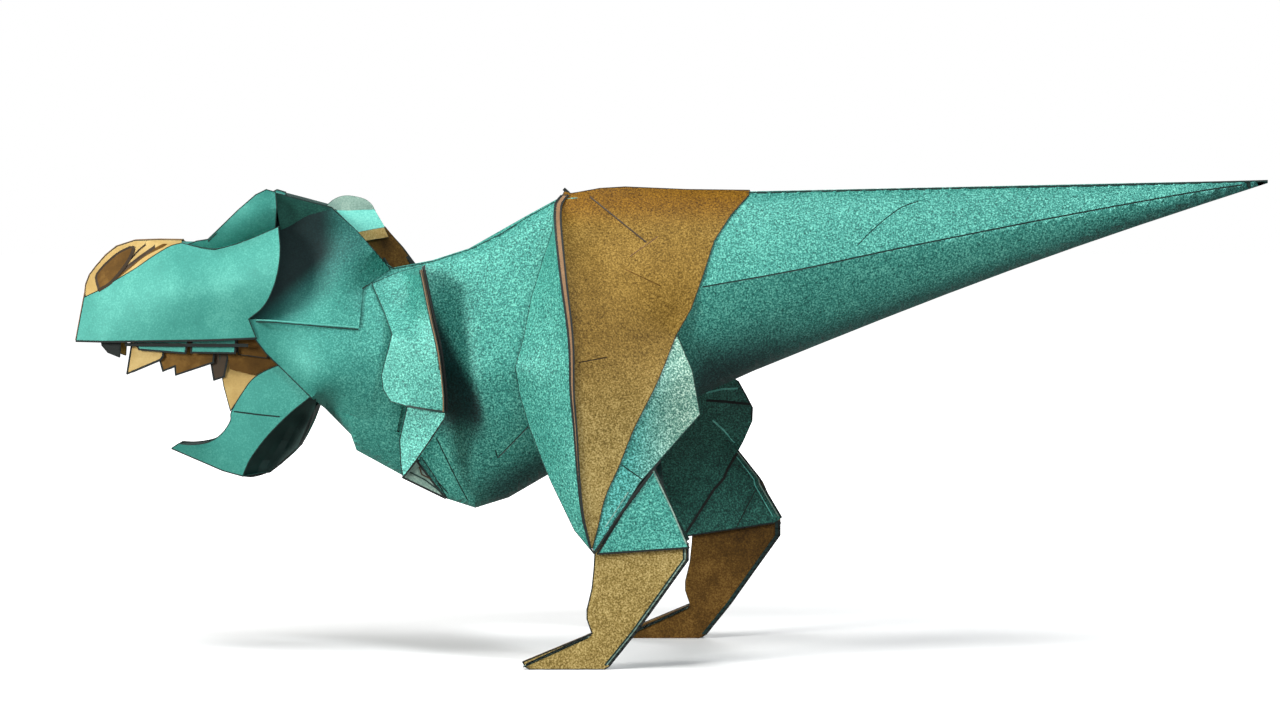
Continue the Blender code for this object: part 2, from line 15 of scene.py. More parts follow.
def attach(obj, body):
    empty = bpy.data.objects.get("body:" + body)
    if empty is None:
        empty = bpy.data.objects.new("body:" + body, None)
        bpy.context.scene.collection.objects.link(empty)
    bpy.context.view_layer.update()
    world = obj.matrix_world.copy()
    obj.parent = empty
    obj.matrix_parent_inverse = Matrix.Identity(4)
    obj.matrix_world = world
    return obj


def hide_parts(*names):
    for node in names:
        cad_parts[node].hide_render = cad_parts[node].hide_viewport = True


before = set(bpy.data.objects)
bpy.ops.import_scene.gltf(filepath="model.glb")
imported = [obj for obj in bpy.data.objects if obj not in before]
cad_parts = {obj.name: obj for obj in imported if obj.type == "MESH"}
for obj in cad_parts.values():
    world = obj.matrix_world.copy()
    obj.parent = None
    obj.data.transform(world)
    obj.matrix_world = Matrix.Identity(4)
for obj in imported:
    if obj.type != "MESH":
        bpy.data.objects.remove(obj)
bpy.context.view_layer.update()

MM = 0.001
NEAR = -1
FAR = 1

# Paper, and the spacing of the points on it
PAPER = 0.30
CREASE_WIDTH = 0.42
CREASE_DEPTH = 0.16
WAVE = 0.14
WAVE_LENGTH = 16.0
MESH_STEP = 2.0
ROW_SHARE = 0.87
EDGE_SHARE = 0.45
FOLD_SHARE = 0.3
NEAR_MIDDLE = 0.5
FAR_OUT = 60.0

# Lines along edges and folds, mostly painted shade
LINE_WIDTH = 0.22
LINE_DEPTH = 0.2
BORDER_LIFT = 0.06
RIDGE_LIFT = 0.05
SHORTEST_LINE = 0.25
SHARP_ANGLE = 24.0

# Head: its corners are (back, up, out) from the lower front corner of the snout
SNOUT = (-160.0, 84.5)
NOSTRIL_LIFT = 0.18
BROW_VALLEY = 4.2

# Body and tail
BACK_HEIGHT = 124.5
SKIN_ROWS = 170
SKIN_PARTS = 15
UPPER_BULGE = 0.45
LOWER_BULGE = 0.80
TAIL_ROOT = 22.0
TAIL_LENGTH = 138.0
TAIL_RISE = 3.0
TAIL_DEPTH = 47.5
TAIL_TIP_DEPTH = 0.8
TAIL_BOW = 1.8
TAIL_SIDE_DROP = 22.5
TAIL_SIDE_TIP_DROP = 0.4
TAIL_HALF_WIDTH = 15.0
TAIL_TIP_HALF_WIDTH = 0.8
TAIL_RINGS = 9

# Legs: the far one leans back from the hip down
SEAM_BAND = 1.5
SEAM_BAND_FOOT = 28.0
SEAM_BAND_RISE = 80.0
FAR_THIGH_FULLER = 3.2
LEG_OUT = 34.9
LEG_WALL = 0.6
LEG_LAYER_STEP = 0.85
LEG_LAYER_INSET = 0.35
LEG_KNEE_HEIGHT = 32.0
LEG_FRONT = -18.5
LEG_INNER_FACE = 2.3
SOLE_LIFT = 0.02
FAR_LEG_SET_BACK = 26.5
SET_BACK_TOP = 88.0
SET_BACK_FOOT = 44.6

# Camera
CAMERA_PLACE = (-8.6, -999.0, 125.2)
CAMERA_TILT = 2.64
CAMERA_LENS = 104.5
CAMERA_SENSOR = 36.0

# Floor, in metres
FLOOR_HALF = 6.0
FLOOR_DROP = 0.0001
GLOW_START = 0.10
GLOW_FULL = 0.45
GLOW_LEAST = 0.05

# Rings of the body: ridge, widest line and keel as (x, z), and half width
BODY_RINGS = (
    ((-92.0, 110.0), (-99.0, 92.0), (-97.5, 72.0), 6.0),
    ((-87.5, 112.0), (-94.0, 88.0), (-95.5, 68.2), 12.2),
    ((-82.5, 108.5), (-88.0, 83.0), (-86.5, 59.0), 13.6),
    ((-81.8, 108.0), (-87.0, 82.9), (-85.0, 54.8), 13.7),
    ((-75.0, 104.0), (-78.0, 81.5), (-73.0, 48.2), 14.6),
    ((-64.5, 106.0), (-64.0, 79.0), (-61.0, 41.8), 9.8),
    ((-54.5, 109.2), (-50.0, 77.0), (-53.0, 39.2), 16.0),
    ((-39.0, 118.0), (-38.5, 79.0), (-44.0, 42.0), 16.0),
    ((-28.0, 124.0), (-27.0, 83.0), (-32.0, 49.0), 16.0),
    ((-12.0, 124.5), (-11.0, 90.5), (-10.0, 60.5), 16.0),
    ((5.0, 124.5), (7.0, 98.5), (10.5, 71.0), 15.7),
)


# Finishes

# Directions along which a shade or the grain sets in
UP = (0.0, 0.0, 1.0)
TAILWARD = (1.0, 0.0, 0.0)
HEADWARD = (-1.0, 0.0, 0.0)
TO_FLAP = (-0.88, 0.0, -0.47)
TO_CHEEK = (-0.645, 0.0, 0.764)
TO_BELLY_EDGE = (0.42, 0.0, -0.91)
TO_TAIL_EDGE = (0.33, 0.0, -0.94)

CALM_HEAD = 0.16
HEAD_DULLNESS = 0.15
GRAIN_HEIGHT = 0.00012

# Every finish made, in the order in which the pieces number them
FINISHES = []


def linear(rgb):
    """A screen colour (0 to 255) as linear values."""
    out = []
    for value in rgb:
        share = value / 255.0
        out.append(share / 12.92 if share <= 0.04045 else ((share + 0.055) / 1.055) ** 2.4)
    return (*out, 1.0)


def paper_finish(name, tones, roughness, metallic, grain, mottle, emboss, gloss=0.5, shades=()):
    """Satin paper with an embossed grain, which is calmer on the head, and soft blotches.

    The tones are dark, middle and light. A shade is a colour to multiply by, which paints shade, and
    limits as (direction, start, full), in metres along that direction, between which it sets in.
    """
    made = bpy.data.materials.new(name)
    made.use_nodes = True
    nodes = made.node_tree.nodes
    links = made.node_tree.links
    shader = nodes["Principled BSDF"]
    shader.inputs["Metallic"].default_value = metallic
    shader.inputs["Specular IOR Level"].default_value = gloss
    place = nodes.new("ShaderNodeTexCoord").outputs["Object"]

    def pattern(scale, detail, roughen=0.5):
        node = nodes.new("ShaderNodeTexNoise")
        node.inputs["Scale"].default_value = scale
        node.inputs["Detail"].default_value = detail
        node.inputs["Roughness"].default_value = roughen
        links.new(place, node.inputs["Vector"])
        return node.outputs["Fac"]

    def maths(operation, first, second):
        node = nodes.new("ShaderNodeMath")
        node.operation = operation
        for slot, value in enumerate((first, second)):
            if isinstance(value, float):
                node.inputs[slot].default_value = value
            else:
                links.new(value, node.inputs[slot])
        return node.outputs[0]

    def slope(direction, start, end, low=0.0, high=1.0):
        along = nodes.new("ShaderNodeVectorMath")
        along.operation = "DOT_PRODUCT"
        links.new(place, along.inputs[0])
        along.inputs[1].default_value = direction
        node = nodes.new("ShaderNodeMapRange")
        node.interpolation_type = "SMOOTHSTEP"
        for slot, value in (("From Min", start), ("From Max", end), ("To Min", low), ("To Max", high)):
            node.inputs[slot].default_value = value
        links.new(along.outputs["Value"], node.inputs["Value"])
        return node.outputs["Result"]

    fine = pattern(2200.0, 2.0, 0.65)
    blotch = pattern(55.0, 4.0, 0.6)
    streak = pattern(260.0, 3.0, 0.6)
    calm = slope(TAILWARD, -0.112, -0.055, CALM_HEAD, 1.0)
    spread = maths("MULTIPLY", maths("MULTIPLY", maths("SUBTRACT", fine, 0.5), grain), calm)
    spread = maths("ADD", spread, maths("MULTIPLY", maths("SUBTRACT", blotch, 0.5), mottle))
    spread = maths("ADD", spread, maths("MULTIPLY", maths("SUBTRACT", streak, 0.5), mottle * 0.7))
    tone = maths("ADD", spread, 0.5)
    ramp = nodes.new("ShaderNodeValToRGB")
    ramp.color_ramp.elements[0].position = 0.12
    ramp.color_ramp.elements[0].color = linear(tones[0])
    ramp.color_ramp.elements[1].position = 0.88
    ramp.color_ramp.elements[1].color = linear(tones[2])
    ramp.color_ramp.elements.new(0.5).color = linear(tones[1])
    links.new(tone, ramp.inputs["Fac"])
    tint = ramp.outputs["Color"]
    # Each shade multiplies its colour in, as painted shade, where all its limits meet
    for colour, *limits in shades:
        share = slope(*limits[0])
        for limit in limits[1:]:
            share = maths("MULTIPLY", share, slope(*limit))
        blend = nodes.new("ShaderNodeMix")
        blend.data_type = "RGBA"
        blend.blend_type = "MULTIPLY"
        links.new(share, blend.inputs["Factor"])
        links.new(tint, blend.inputs["A"])
        blend.inputs["B"].default_value = (*colour, 1.0)
        tint = blend.outputs["Result"]
    links.new(tint, shader.inputs["Base Color"])
    dull = maths("SUBTRACT", roughness + HEAD_DULLNESS, maths("MULTIPLY", calm, HEAD_DULLNESS))
    links.new(dull, shader.inputs["Roughness"])
    bump = nodes.new("ShaderNodeBump")
    links.new(maths("MULTIPLY", calm, emboss), bump.inputs["Strength"])
    bump.inputs["Distance"].default_value = GRAIN_HEIGHT
    links.new(fine, bump.inputs["Height"])
    links.new(bump.outputs["Normal"], shader.inputs["Normal"])
    return made


def finish(*look, **more):
    """Keeps one more finish, and gives its place in every piece's list of materials."""
    FINISHES.append(paper_finish(*look, **more))
    return len(FINISHES) - 1


TEAL_TONES = ((10, 78, 72), (52, 142, 130), (120, 208, 190))
FULL_GRAIN = dict(grain=2.1, mottle=0.20, emboss=1.0)
SOFT_GRAIN = dict(grain=1.2, mottle=0.5, emboss=0.3)
LINE_GRAIN = dict(grain=0.8, mottle=0.4, emboss=0.1)
RIM_GRAIN = dict(grain=0.6, mottle=0.3, emboss=0.1)

# Shades: a darker, warmer top for the hip as painted shade, painted shadow and painted shade in the folds and
# along the body's lower edges, and a teal front where the thigh's painted highlight fades
# Painted shade: the hip's kraft darker and warmer toward its top, so that its lower part reads as painted sheen
HIP_TOP_SHADE = (
    ((0.66, 0.54, 0.30), (UP, 0.055, 0.090)),
    ((0.84, 0.66, 0.22), (UP, 0.113, 0.122)),
)
# Painted shadow of the shoulder flap, cast on the torso behind it
FLAP_SHADOW = ((0.07, 0.13, 0.15), (TO_FLAP, 0.0105, 0.0140), (TAILWARD, -0.048, -0.052),
               (TAILWARD, -0.071, -0.067), (UP, 0.056, 0.066))
# Painted shade along the belly's lower edge
BELLY_SHADE = ((0.34, 0.37, 0.40), (TO_BELLY_EDGE, -0.068, -0.061), (TAILWARD, -0.055, -0.045),
              (TAILWARD, -0.008, -0.018))
# Painted shade along the tail's lower edge
LOWER_TAIL_SHADE = ((0.55, 0.58, 0.62), (TO_TAIL_EDGE, -0.073, -0.0665), (TAILWARD, 0.0, 0.01))
# Painted shadow under the root of the tail, behind the hip
SHADOW_UNDER_TAIL_ROOT = ((0.30, 0.33, 0.36), (TO_TAIL_EDGE, -0.082, -0.068), (TAILWARD, 0.044, 0.016),
                   (TAILWARD, 0.0, 0.01))
# Painted shadow of the cheek's edge in the temple pocket, darkest next to the edge
CHEEK_SHADOW = (
    ((0.13, 0.15, 0.18), (TO_CHEEK, 0.1375, 0.1430), (TAILWARD, -0.087, -0.0945)),
    ((0.50, 0.56, 0.60), (TO_CHEEK, 0.130, 0.140)),
)
# The thigh's painted highlight turns teal toward its front
THIGH_HIGHLIGHT_FADE = (((0.28, 0.80, 0.90), (HEADWARD, -0.0045, 0.0130)),)

# Finishes: tones, roughness and how metallic they are
TEAL = finish("teal_paper", TEAL_TONES, 0.45, 0.24, **FULL_GRAIN)
# The kraft takes the painted shade on the hip's top
KRAFT = finish("kraft_paper", ((98, 80, 38), (154, 132, 74), (202, 180, 120)), 0.55, 0.0,
               grain=2.0, mottle=0.45, emboss=0.8, gloss=0.15, shades=HIP_TOP_SHADE)
EDGE = finish("tan_edge", ((96, 66, 40), (134, 101, 68), (172, 137, 99)), 0.7, 0.0, **RIM_GRAIN)
# Near-black: painted shadow in the gaps between layers, along rims and lines, and on faces deep in shade
DARK = finish("dark_edge", ((6, 14, 12), (14, 24, 22), (30, 42, 38)), 0.7, 0.0, **RIM_GRAIN)
# Creases, teal and kraft: painted shade in the folds
FOLD = finish("teal_crease", ((4, 26, 24), (10, 44, 40), (24, 74, 66)), 0.6, 0.1, **LINE_GRAIN)
TAN_FOLD = finish("kraft_crease", ((30, 20, 6), (54, 38, 14), (84, 62, 28)), 0.6, 0.0, **LINE_GRAIN)
# Painted shade: dark teal for undersides, pockets, closures and inner faces
SHADE = finish("inner_teal", ((6, 28, 26), (14, 48, 44), (34, 82, 74)), 0.5, 0.2, **SOFT_GRAIN)
# Painted shade on kraft, in pockets, folds and inner faces
KRAFT_IN_SHADE = finish("deep_kraft", ((50, 32, 8), (94, 66, 24), (146, 110, 54)), 0.6, 0.0,
               grain=1.0, mottle=0.8, emboss=0.3, gloss=0.15)
# Pale: painted highlight on lit edges and folds, also the face of the hand and of the far crest's cap
PALE = finish("worn_edge", ((84, 116, 106), (126, 156, 144), (180, 204, 190)), 0.45, 0.1,
              grain=1.2, mottle=0.6, emboss=0.3)
CREAM = finish("pale_kraft", ((126, 98, 52), (180, 152, 94), (218, 198, 142)), 0.55, 0.0,
               grain=1.2, mottle=0.5, emboss=0.4, gloss=0.15)
# Aqua: painted highlight on lit teal folds
AQUA = finish("aqua_fold", ((60, 150, 140), (98, 192, 178), (144, 228, 212)), 0.45, 0.1, **SOFT_GRAIN)
# Painted shadow: dark teal for the crown patch and the inner faces of the thighs
TEAL_IN_SHADOW = finish("deep_teal", ((4, 46, 42), (28, 92, 82), (74, 150, 134)), 0.50, 0.2,
              grain=2.0, mottle=0.4, emboss=0.9)
# The body's teal, with the painted shadow and painted shades above
SKIN = finish("shaded_teal", TEAL_TONES, 0.45, 0.24, **FULL_GRAIN,
              shades=(FLAP_SHADOW, BELLY_SHADE, LOWER_TAIL_SHADE, SHADOW_UNDER_TAIL_ROOT))
# The temple's teal, with the cheek's painted shadow
POCKET = finish("teal_pocket", TEAL_TONES, 0.50, 0.24, **FULL_GRAIN, shades=CHEEK_SHADOW)
# The thigh's back panel, painted lighter and greyer as a highlight
THIGH_HIGHLIGHT = finish("worn_teal", ((34, 90, 80), (102, 156, 136), (204, 230, 212)), 0.42, 0.24,
              grain=2.5, mottle=0.30, emboss=1.0, shades=THIGH_HIGHLIGHT_FADE)


# Mesh building

class Piece:
    """Paper gathered layer by layer and made into one mesh at the end."""

    def __init__(self, name):
        self.name = name
        self.points = []
        self.faces = []
        self.looks = []
        self.count = 0

    def add(self, points, faces, looks):
        self.points.append(np.asarray(points, float))
        self.faces += [tuple(int(i) + self.count for i in face) for face in faces]
        self.looks += looks
        self.count += len(points)

    def layer(self, top, faces, wall=PAPER, face=TEAL, back=KRAFT, rim=EDGE, marks=None):
        """A closed sheet from its outer surface, with a finish for each side and for its rim."""
        top = np.asarray(top, float)
        normal = corner_normals(top, faces)
        low = top - normal * wall
        crossed = (top[:, 1] * low[:, 1] < 0) | (np.abs(top[:, 1]) < 1e-6)
        low[crossed, 1] = 0.0
        count = len(top)
        solid = [tuple(f) for f in faces]
        looks = [face if mark is None else mark for mark in marks or [None] * len(faces)]
        solid += [tuple(int(i) + count for i in reversed(f)) for f in faces]
        looks += [back] * len(faces)
        directed = {(int(a), int(b)) for f in faces for a, b in zip(f, (*f[1:], f[0]))}
        for a, b in directed:
            if (b, a) not in directed:
                solid.append((b, a, a + count, b + count))
                looks.append(rim)
        self.add(np.vstack([top, low]), solid, looks)

    def make(self):
        """One mesh, which rides on the root body in place of the sheet's node."""
        mesh = bpy.data.meshes.new(self.name)
        points = np.vstack(self.points) * MM
        mesh.from_pydata([tuple(p) for p in points], [], self.faces)
        for paper in FINISHES:
            mesh.materials.append(paper)
        mesh.polygons.foreach_set("material_index", self.looks)
        mesh.polygons.foreach_set("use_smooth", [True] * len(self.faces))
        mesh.set_sharp_from_angle(angle=math.radians(SHARP_ANGLE))
        mesh.update()
        item = bpy.data.objects.new(self.name, mesh)
        bpy.context.scene.collection.objects.link(item)
        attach(item, "root")
        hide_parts("folded_sheet")


def corner_normals(points, faces):
    """Directions out of the paper at its points."""
    total = np.zeros_like(points)
    tri = np.array([(f[0], f[k], f[k + 1]) for f in faces for k in range(1, len(f) - 1)])
    a, b, c = points[tri[:, 0]], points[tri[:, 1]], points[tri[:, 2]]
    cross = np.cross(b - a, c - a)
    for k in range(3):
        np.add.at(total, tri[:, k], cross)
    size = np.linalg.norm(total, axis=1)
    size[size < 1e-12] = 1.0
    return total / size[:, None]


def resample(points, step, closed=False):
    """The same line with points at most a step apart, and every corner kept."""
    points = [np.asarray(p, float) for p in points]
    if closed:
        points.append(points[0])
    made = []
    for a, b in zip(points, points[1:]):
        pieces = max(1, math.ceil(np.linalg.norm(b - a) / step))
        made += [a + (b - a) * k / pieces for k in range(pieces)]
    if not closed:
        made.append(points[-1])
    return np.array(made)


def curve(points, parts=5):
    """A smooth line through its points."""
    points = [np.asarray(p, float) for p in points]
    padded = [2 * points[0] - points[1]] + points + [2 * points[-1] - points[-2]]
    made = []
    for k in range(1, len(padded) - 2):
        a, b, c, d = padded[k - 1:k + 3]
        for step in range(parts):
            t = step / parts
            made.append(0.5 * (2 * b + (c - a) * t + (2 * a - 5 * b + 4 * c - d) * t * t
                               + (3 * b - a - 3 * c + d) * t ** 3))
    made.append(points[-1])
    return [tuple(p) for p in made]


def beside(line, shift):
    """The same line moved sideways."""
    line = np.asarray(line, float)
    run = np.gradient(line, axis=0)
    run /= np.linalg.norm(run, axis=1)[:, None] + 1e-9
    return line + np.stack([-run[:, 1], run[:, 0]], 1) * shift


def reach(points, line):
    """How far each point lies from a line of straight runs."""
    best = np.full(len(points), 1e9)
    for a, b in zip(line, line[1:]):
        run = b - a
        along = np.clip((points - a) @ run / (run @ run + 1e-12), 0, 1)
        best = np.minimum(best, np.linalg.norm(points - (a + along[:, None] * run), axis=1))
    return best


def inside_ring(points, ring):
    """Which points lie inside a closed outline."""
    held = np.zeros(len(points), bool)
    for (x0, y0), (x1, y1) in zip(ring, np.roll(ring, -1, axis=0)):
        spans = (y0 > points[:, 1]) != (y1 > points[:, 1])
        cut = x0 + (points[:, 1] - y0) * (x1 - x0) / (y1 - y0 + 1e-12)
        held ^= spans & (points[:, 0] < cut)
    return held


def fill(ring, folds, step, sites=None):
    """Triangles inside a ring, with three lines of points along each fold."""
    points = [ring]
    edges = []
    count = len(ring)
    for line, width in folds:
        for shift in (-0.5, 0.0, 0.5):
            track = beside(line, width * shift)
            edges += [(count + k, count + k + 1) for k in range(len(track) - 1)]
            points.append(track)
            count += len(track)
    if sites is None:
        low, high = ring.min(0), ring.max(0)
        rows = np.arange(low[1] + step * 0.5, high[1], step * ROW_SHARE)
        columns = np.arange(low[0] + step * 0.5, high[0], step)
        sites = np.array([(x + (r % 2) * step * 0.5, z) for r, z in enumerate(rows) for x in columns])
        sites = sites.reshape(-1, 2)
    if len(sites):
        sites = sites[inside_ring(sites, ring)]
    if len(sites):
        closed = np.vstack([ring, ring[:1]])
        sites = sites[reach(sites, closed) > step * EDGE_SHARE]
        for line, width in folds:
            if len(sites):
                sites = sites[reach(sites, line) > width * 0.5 + step * FOLD_SHARE]
        points.append(sites)
    flat = [Vector(p) for p in np.vstack(points)]
    made = delaunay_2d_cdt(flat, edges, [list(range(len(ring)))], 1, 1e-5)
    return np.array([tuple(p) for p in made[0]]), [tuple(f) for f in made[2]]


def spline(sites, values):
    """A smooth surface through given places: thin plate."""
    def kernel(a, b):
        gap = np.linalg.norm(a[:, None] - b[None], axis=2)
        return np.where(gap > 1e-9, gap * gap * np.log(gap + 1e-12), 0.0)
    count = len(sites)
    base = np.hstack([np.ones((count, 1)), sites])
    system = np.zeros((count + 3, count + 3))
    system[:count, :count] = kernel(sites, sites) + np.eye(count) * 1e-6
    system[:count, count:] = base
    system[count:, :count] = base.T
    weights = np.linalg.solve(system, np.concatenate([values, np.zeros(3)]))
    return lambda p: kernel(p, sites) @ weights[:count] + weights[count] + p @ weights[count + 1:]


def waves(points):
    """The slight unevenness of hand-folded paper."""
    return np.array([noise.noise(Vector((x / WAVE_LENGTH, z / WAVE_LENGTH, 3.7))) for x, z in points]) * WAVE


def placed(points, side):
    """The far leg stands behind the near one, and leans back to it from the hip down."""
    if side == NEAR:
        return points
    share = np.clip((SET_BACK_TOP - points[:, 2]) / (SET_BACK_TOP - SET_BACK_FOOT), 0, 1)
    moved = points.copy()
    moved[:, 0] += FAR_LEG_SET_BACK * share
    return moved


# Faces of a flat bar whose first four corners lie outside and whose last four lie inside
BAR_FACES = ((0, 1, 2, 3), (7, 6, 5, 4), (1, 0, 4, 5), (2, 1, 5, 6), (3, 2, 6, 7), (0, 3, 7, 4))


def trim(piece, line, side=NEAR, width=0.36, ink=DARK, lift=0.12, leg=False, closed=False):
    """A narrow line along an edge or a fold, through (x, out, z) corners; dark ones are painted shade and light
    ones painted highlight.
    """
    line = resample(line, MESH_STEP, closed)
    if closed:
        line = np.vstack([line, line[:1]])
    line = placed(line, side if leg else NEAR)
    for a, b in zip(line, line[1:]):
        run = (b - a)[[0, 2]]
        size = np.linalg.norm(run)
        if size < SHORTEST_LINE:
            continue
        run /= size
        across = np.array([-run[1], 0.0, run[0]]) * width * 0.5
        ends = np.array([run[0], 0.0, run[1]]) * width * 0.3
        corners = [a - ends + across, a - ends - across, b + ends - across, b + ends + across]
        bar = np.array([c + (0.0, out, 0.0) for out in (lift, lift - LINE_DEPTH) for c in corners])
        bar[:, 1] *= side
        faces = [tuple(reversed(f)) for f in BAR_FACES] if side == FAR else BAR_FACES
        piece.add(bar, faces, [ink] * len(faces))


def drawn(depth, line):
    """The (x, out, z) corners of a line given as (x, z) on a panel of known depth."""
    return [(x, float(out), z) for (x, z), out in zip(line, depth(np.array(line, float)))]


def panel(piece, outline, side, folds=(), inside=(), leg=False, step=MESH_STEP, depth=None, sites=None,
          wave=1.0, over=None, line=LINE_WIDTH, ink=None, **sheet):
    """One paper face over an outline of (x, out, z) corners, with creases as (line, width, ink), where a dark ink
    is painted shade.

    Its depth is a smooth surface through the outline and the inside places, and never less
    than the body's skin and the cover given. It gives that surface back.
    """
    corners = resample(outline, step, closed=True)
    ring = corners[:, [0, 2]]
    if depth is None:
        known = np.vstack([corners, np.asarray(inside, float).reshape(-1, 3)])
        _, first = np.unique(known[:, [0, 2]].round(3), axis=0, return_index=True)
        known = known[first]
        depth = spline(known[:, [0, 2]], known[:, 1])
    tracks = [(resample(fold, step), width) for fold, width, mark in folds]
    flat, faces = fill(ring, tracks, step, sites)

    def raised(spots):
        out = depth(spots)
        if over is not None:
            out = np.maximum(out, skin_depth(spots) + over)
        out = out + waves(spots) * wave * (np.abs(out) > NEAR_MIDDLE)
        return np.stack([spots[:, 0], out, spots[:, 1]], 1)

    shape = raised(flat)
    # A dark line round the panel, as painted shade along its edges
    if line:
        ink = ink or (TAN_FOLD if sheet.get("face") in (KRAFT, KRAFT_IN_SHADE) else FOLD)
        trim(piece, raised(ring), side, line, ink, BORDER_LIFT, leg, closed=True)
    shape = placed(shape, side) if leg else shape
    shape[:, 1] *= side
    if side == FAR:
        faces = [tuple(reversed(f)) for f in faces]
    marks = [None] * len(faces)
    if folds:
        normal = corner_normals(shape, faces)
        middle = np.array([flat[list(f)].mean(0) for f in faces])
        # Faces along a crease take its ink, which for dark creases is painted shade
        for (track, width), (_, _, mark) in zip(tracks, folds):
            gap = reach(flat, track)
            sink = CREASE_DEPTH * np.clip(1 - gap / (width * 0.5), 0, 1)
            shape -= normal * sink[:, None] * (-1.0 if mark == EDGE else 1.0)
            for k in np.nonzero(reach(middle, track) < width * 0.5)[0]:
                marks[k] = mark
    piece.layer(shape, faces, marks=marks, **sheet)
    return depth


def ruled(piece, start, end, across=4, step=MESH_STEP, flip=False, **sheet):
    """Paper stretched between two lines of (x, y, z) corners of equal count."""
    rows = []
    for (a0, b0), (a1, b1) in zip(zip(start, end), zip(start[1:], end[1:])):
        a0, b0, a1, b1 = (np.asarray(p, float) for p in (a0, b0, a1, b1))
        parts = max(1, math.ceil(max(np.linalg.norm(a1 - a0), np.linalg.norm(b1 - b0)) / step))
        for k in range(parts):
            rows.append((a0 + (a1 - a0) * k / parts, b0 + (b1 - b0) * k / parts))
    rows.append((np.asarray(start[-1], float), np.asarray(end[-1], float)))
    points = [a + (b - a) * c / across for a, b in rows for c in range(across + 1)]
    faces = []
    for r in range(len(rows) - 1):
        for c in range(across):
            k = r * (across + 1) + c
            quad = (k, k + 1, k + across + 2, k + across + 1)
            faces.append(tuple(reversed(quad)) if flip else quad)
    piece.layer(np.array(points), faces, **sheet)


def moved(line, back=0.0, out=0.0, up=0.0):
    """The same (x, out, z) corners, moved."""
    return [(x + back, y + out, z + up) for x, y, z in line]


# Body skin

def monotone(values, at):
    """Smooth values between knots at whole numbers, with no overshoot."""
    values = np.asarray(values, float)
    rise = np.diff(values, axis=0)
    slope = np.zeros_like(values)
    slope[1:-1] = np.where(rise[1:] * rise[:-1] > 0,
                           2 * rise[1:] * rise[:-1] / (rise[1:] + rise[:-1] + 1e-12), 0.0)
    slope[0], slope[-1] = rise[0], rise[-1]
    k = np.clip(np.floor(at).astype(int), 0, len(values) - 2)
    t = (at - k)[:, None]
    return ((2 * t ** 3 - 3 * t ** 2 + 1) * values[k] + (t ** 3 - 2 * t ** 2 + t) * slope[k]
            + (3 * t ** 2 - 2 * t ** 3) * values[k + 1] + (t ** 3 - t ** 2) * slope[k + 1])


def all_rings():
    """The body's rings, with the tail's worked out from its root and tip."""
    rings = [(*ridge, *side, *keel, half) for ridge, side, keel, half in BODY_RINGS]
    for share in np.linspace(0, 1, TAIL_RINGS):
        left = 1 - share
        x = TAIL_ROOT + TAIL_LENGTH * share
        top = BACK_HEIGHT + TAIL_RISE * share
        side = top - TAIL_SIDE_TIP_DROP - TAIL_SIDE_DROP * left
        keel = top - TAIL_TIP_DEPTH - TAIL_DEPTH * left + TAIL_BOW * math.sin(math.pi * share)
        half = TAIL_HALF_WIDTH * left + TAIL_TIP_HALF_WIDTH * share
        rings.append((x, top, x, side, x, keel, half))
    return np.array(rings)


def skin_grid():
    """Points of the body's side, from ridge to keel, as rows of (x, out, z)."""
    knots = all_rings()
    at = np.unique(np.concatenate([np.linspace(0, len(knots) - 1, SKIN_ROWS), np.arange(len(knots))]))
    rings = np.stack([np.interp(at, np.arange(len(knots)), column) for column in knots.T], 1)
    rings[:, 6] = monotone(knots[:, 6:], at)[:, 0]
    grid = []
    for rx, rz, sx, sz, kx, kz, half in rings:
        row = []
        for k in range(2 * SKIN_PARTS + 1):
            share = k / SKIN_PARTS
            if share <= 1:
                share = share ** 1.25
                x, z = rx + (sx - rx) * share, rz + (sz - rz) * share
                flat, full, bulge = half * share, half * math.sin(math.acos(1 - share)), UPPER_BULGE
            else:
                share = 1 - (2 - share) ** 1.5
                x, z = sx + (kx - sx) * share, sz + (kz - sz) * share
                flat, full, bulge = half * (1 - share), half * math.sin(math.acos(share)), LOWER_BULGE
            row.append((x, flat + (full - flat) * bulge, z))
        grid.append(row)
    return np.array(grid)


GRID = skin_grid()


def skin_tree():
    """The same side as faces that a ray can meet."""
    rows, columns = GRID.shape[:2]
    points = [Vector(p) for p in GRID.reshape(-1, 3)]
    faces = []
    for r in range(rows - 1):
        for c in range(columns - 1):
            k = r * columns + c
            faces.append((k, k + 1, k + columns + 1, k + columns))
    return BVHTree.FromPolygons(points, faces)


SKIN_TREE = skin_tree()


def skin_out(x, z):
    """How far out the body's side lies at a place."""
    hit = SKIN_TREE.ray_cast(Vector((x, FAR_OUT, z)), Vector((0.0, -1.0, 0.0)))[0]
    return 0.0 if hit is None else hit.y


def on_skin(x, z, lift):
    """The corner that lies so far outside the body's side."""
    return (x, skin_out(x, z) + lift, z)


def skin_line(places):
    return [on_skin(*place) for place in places]


def skin_depth(points):
    return np.array([skin_out(x, z) for x, z in points])


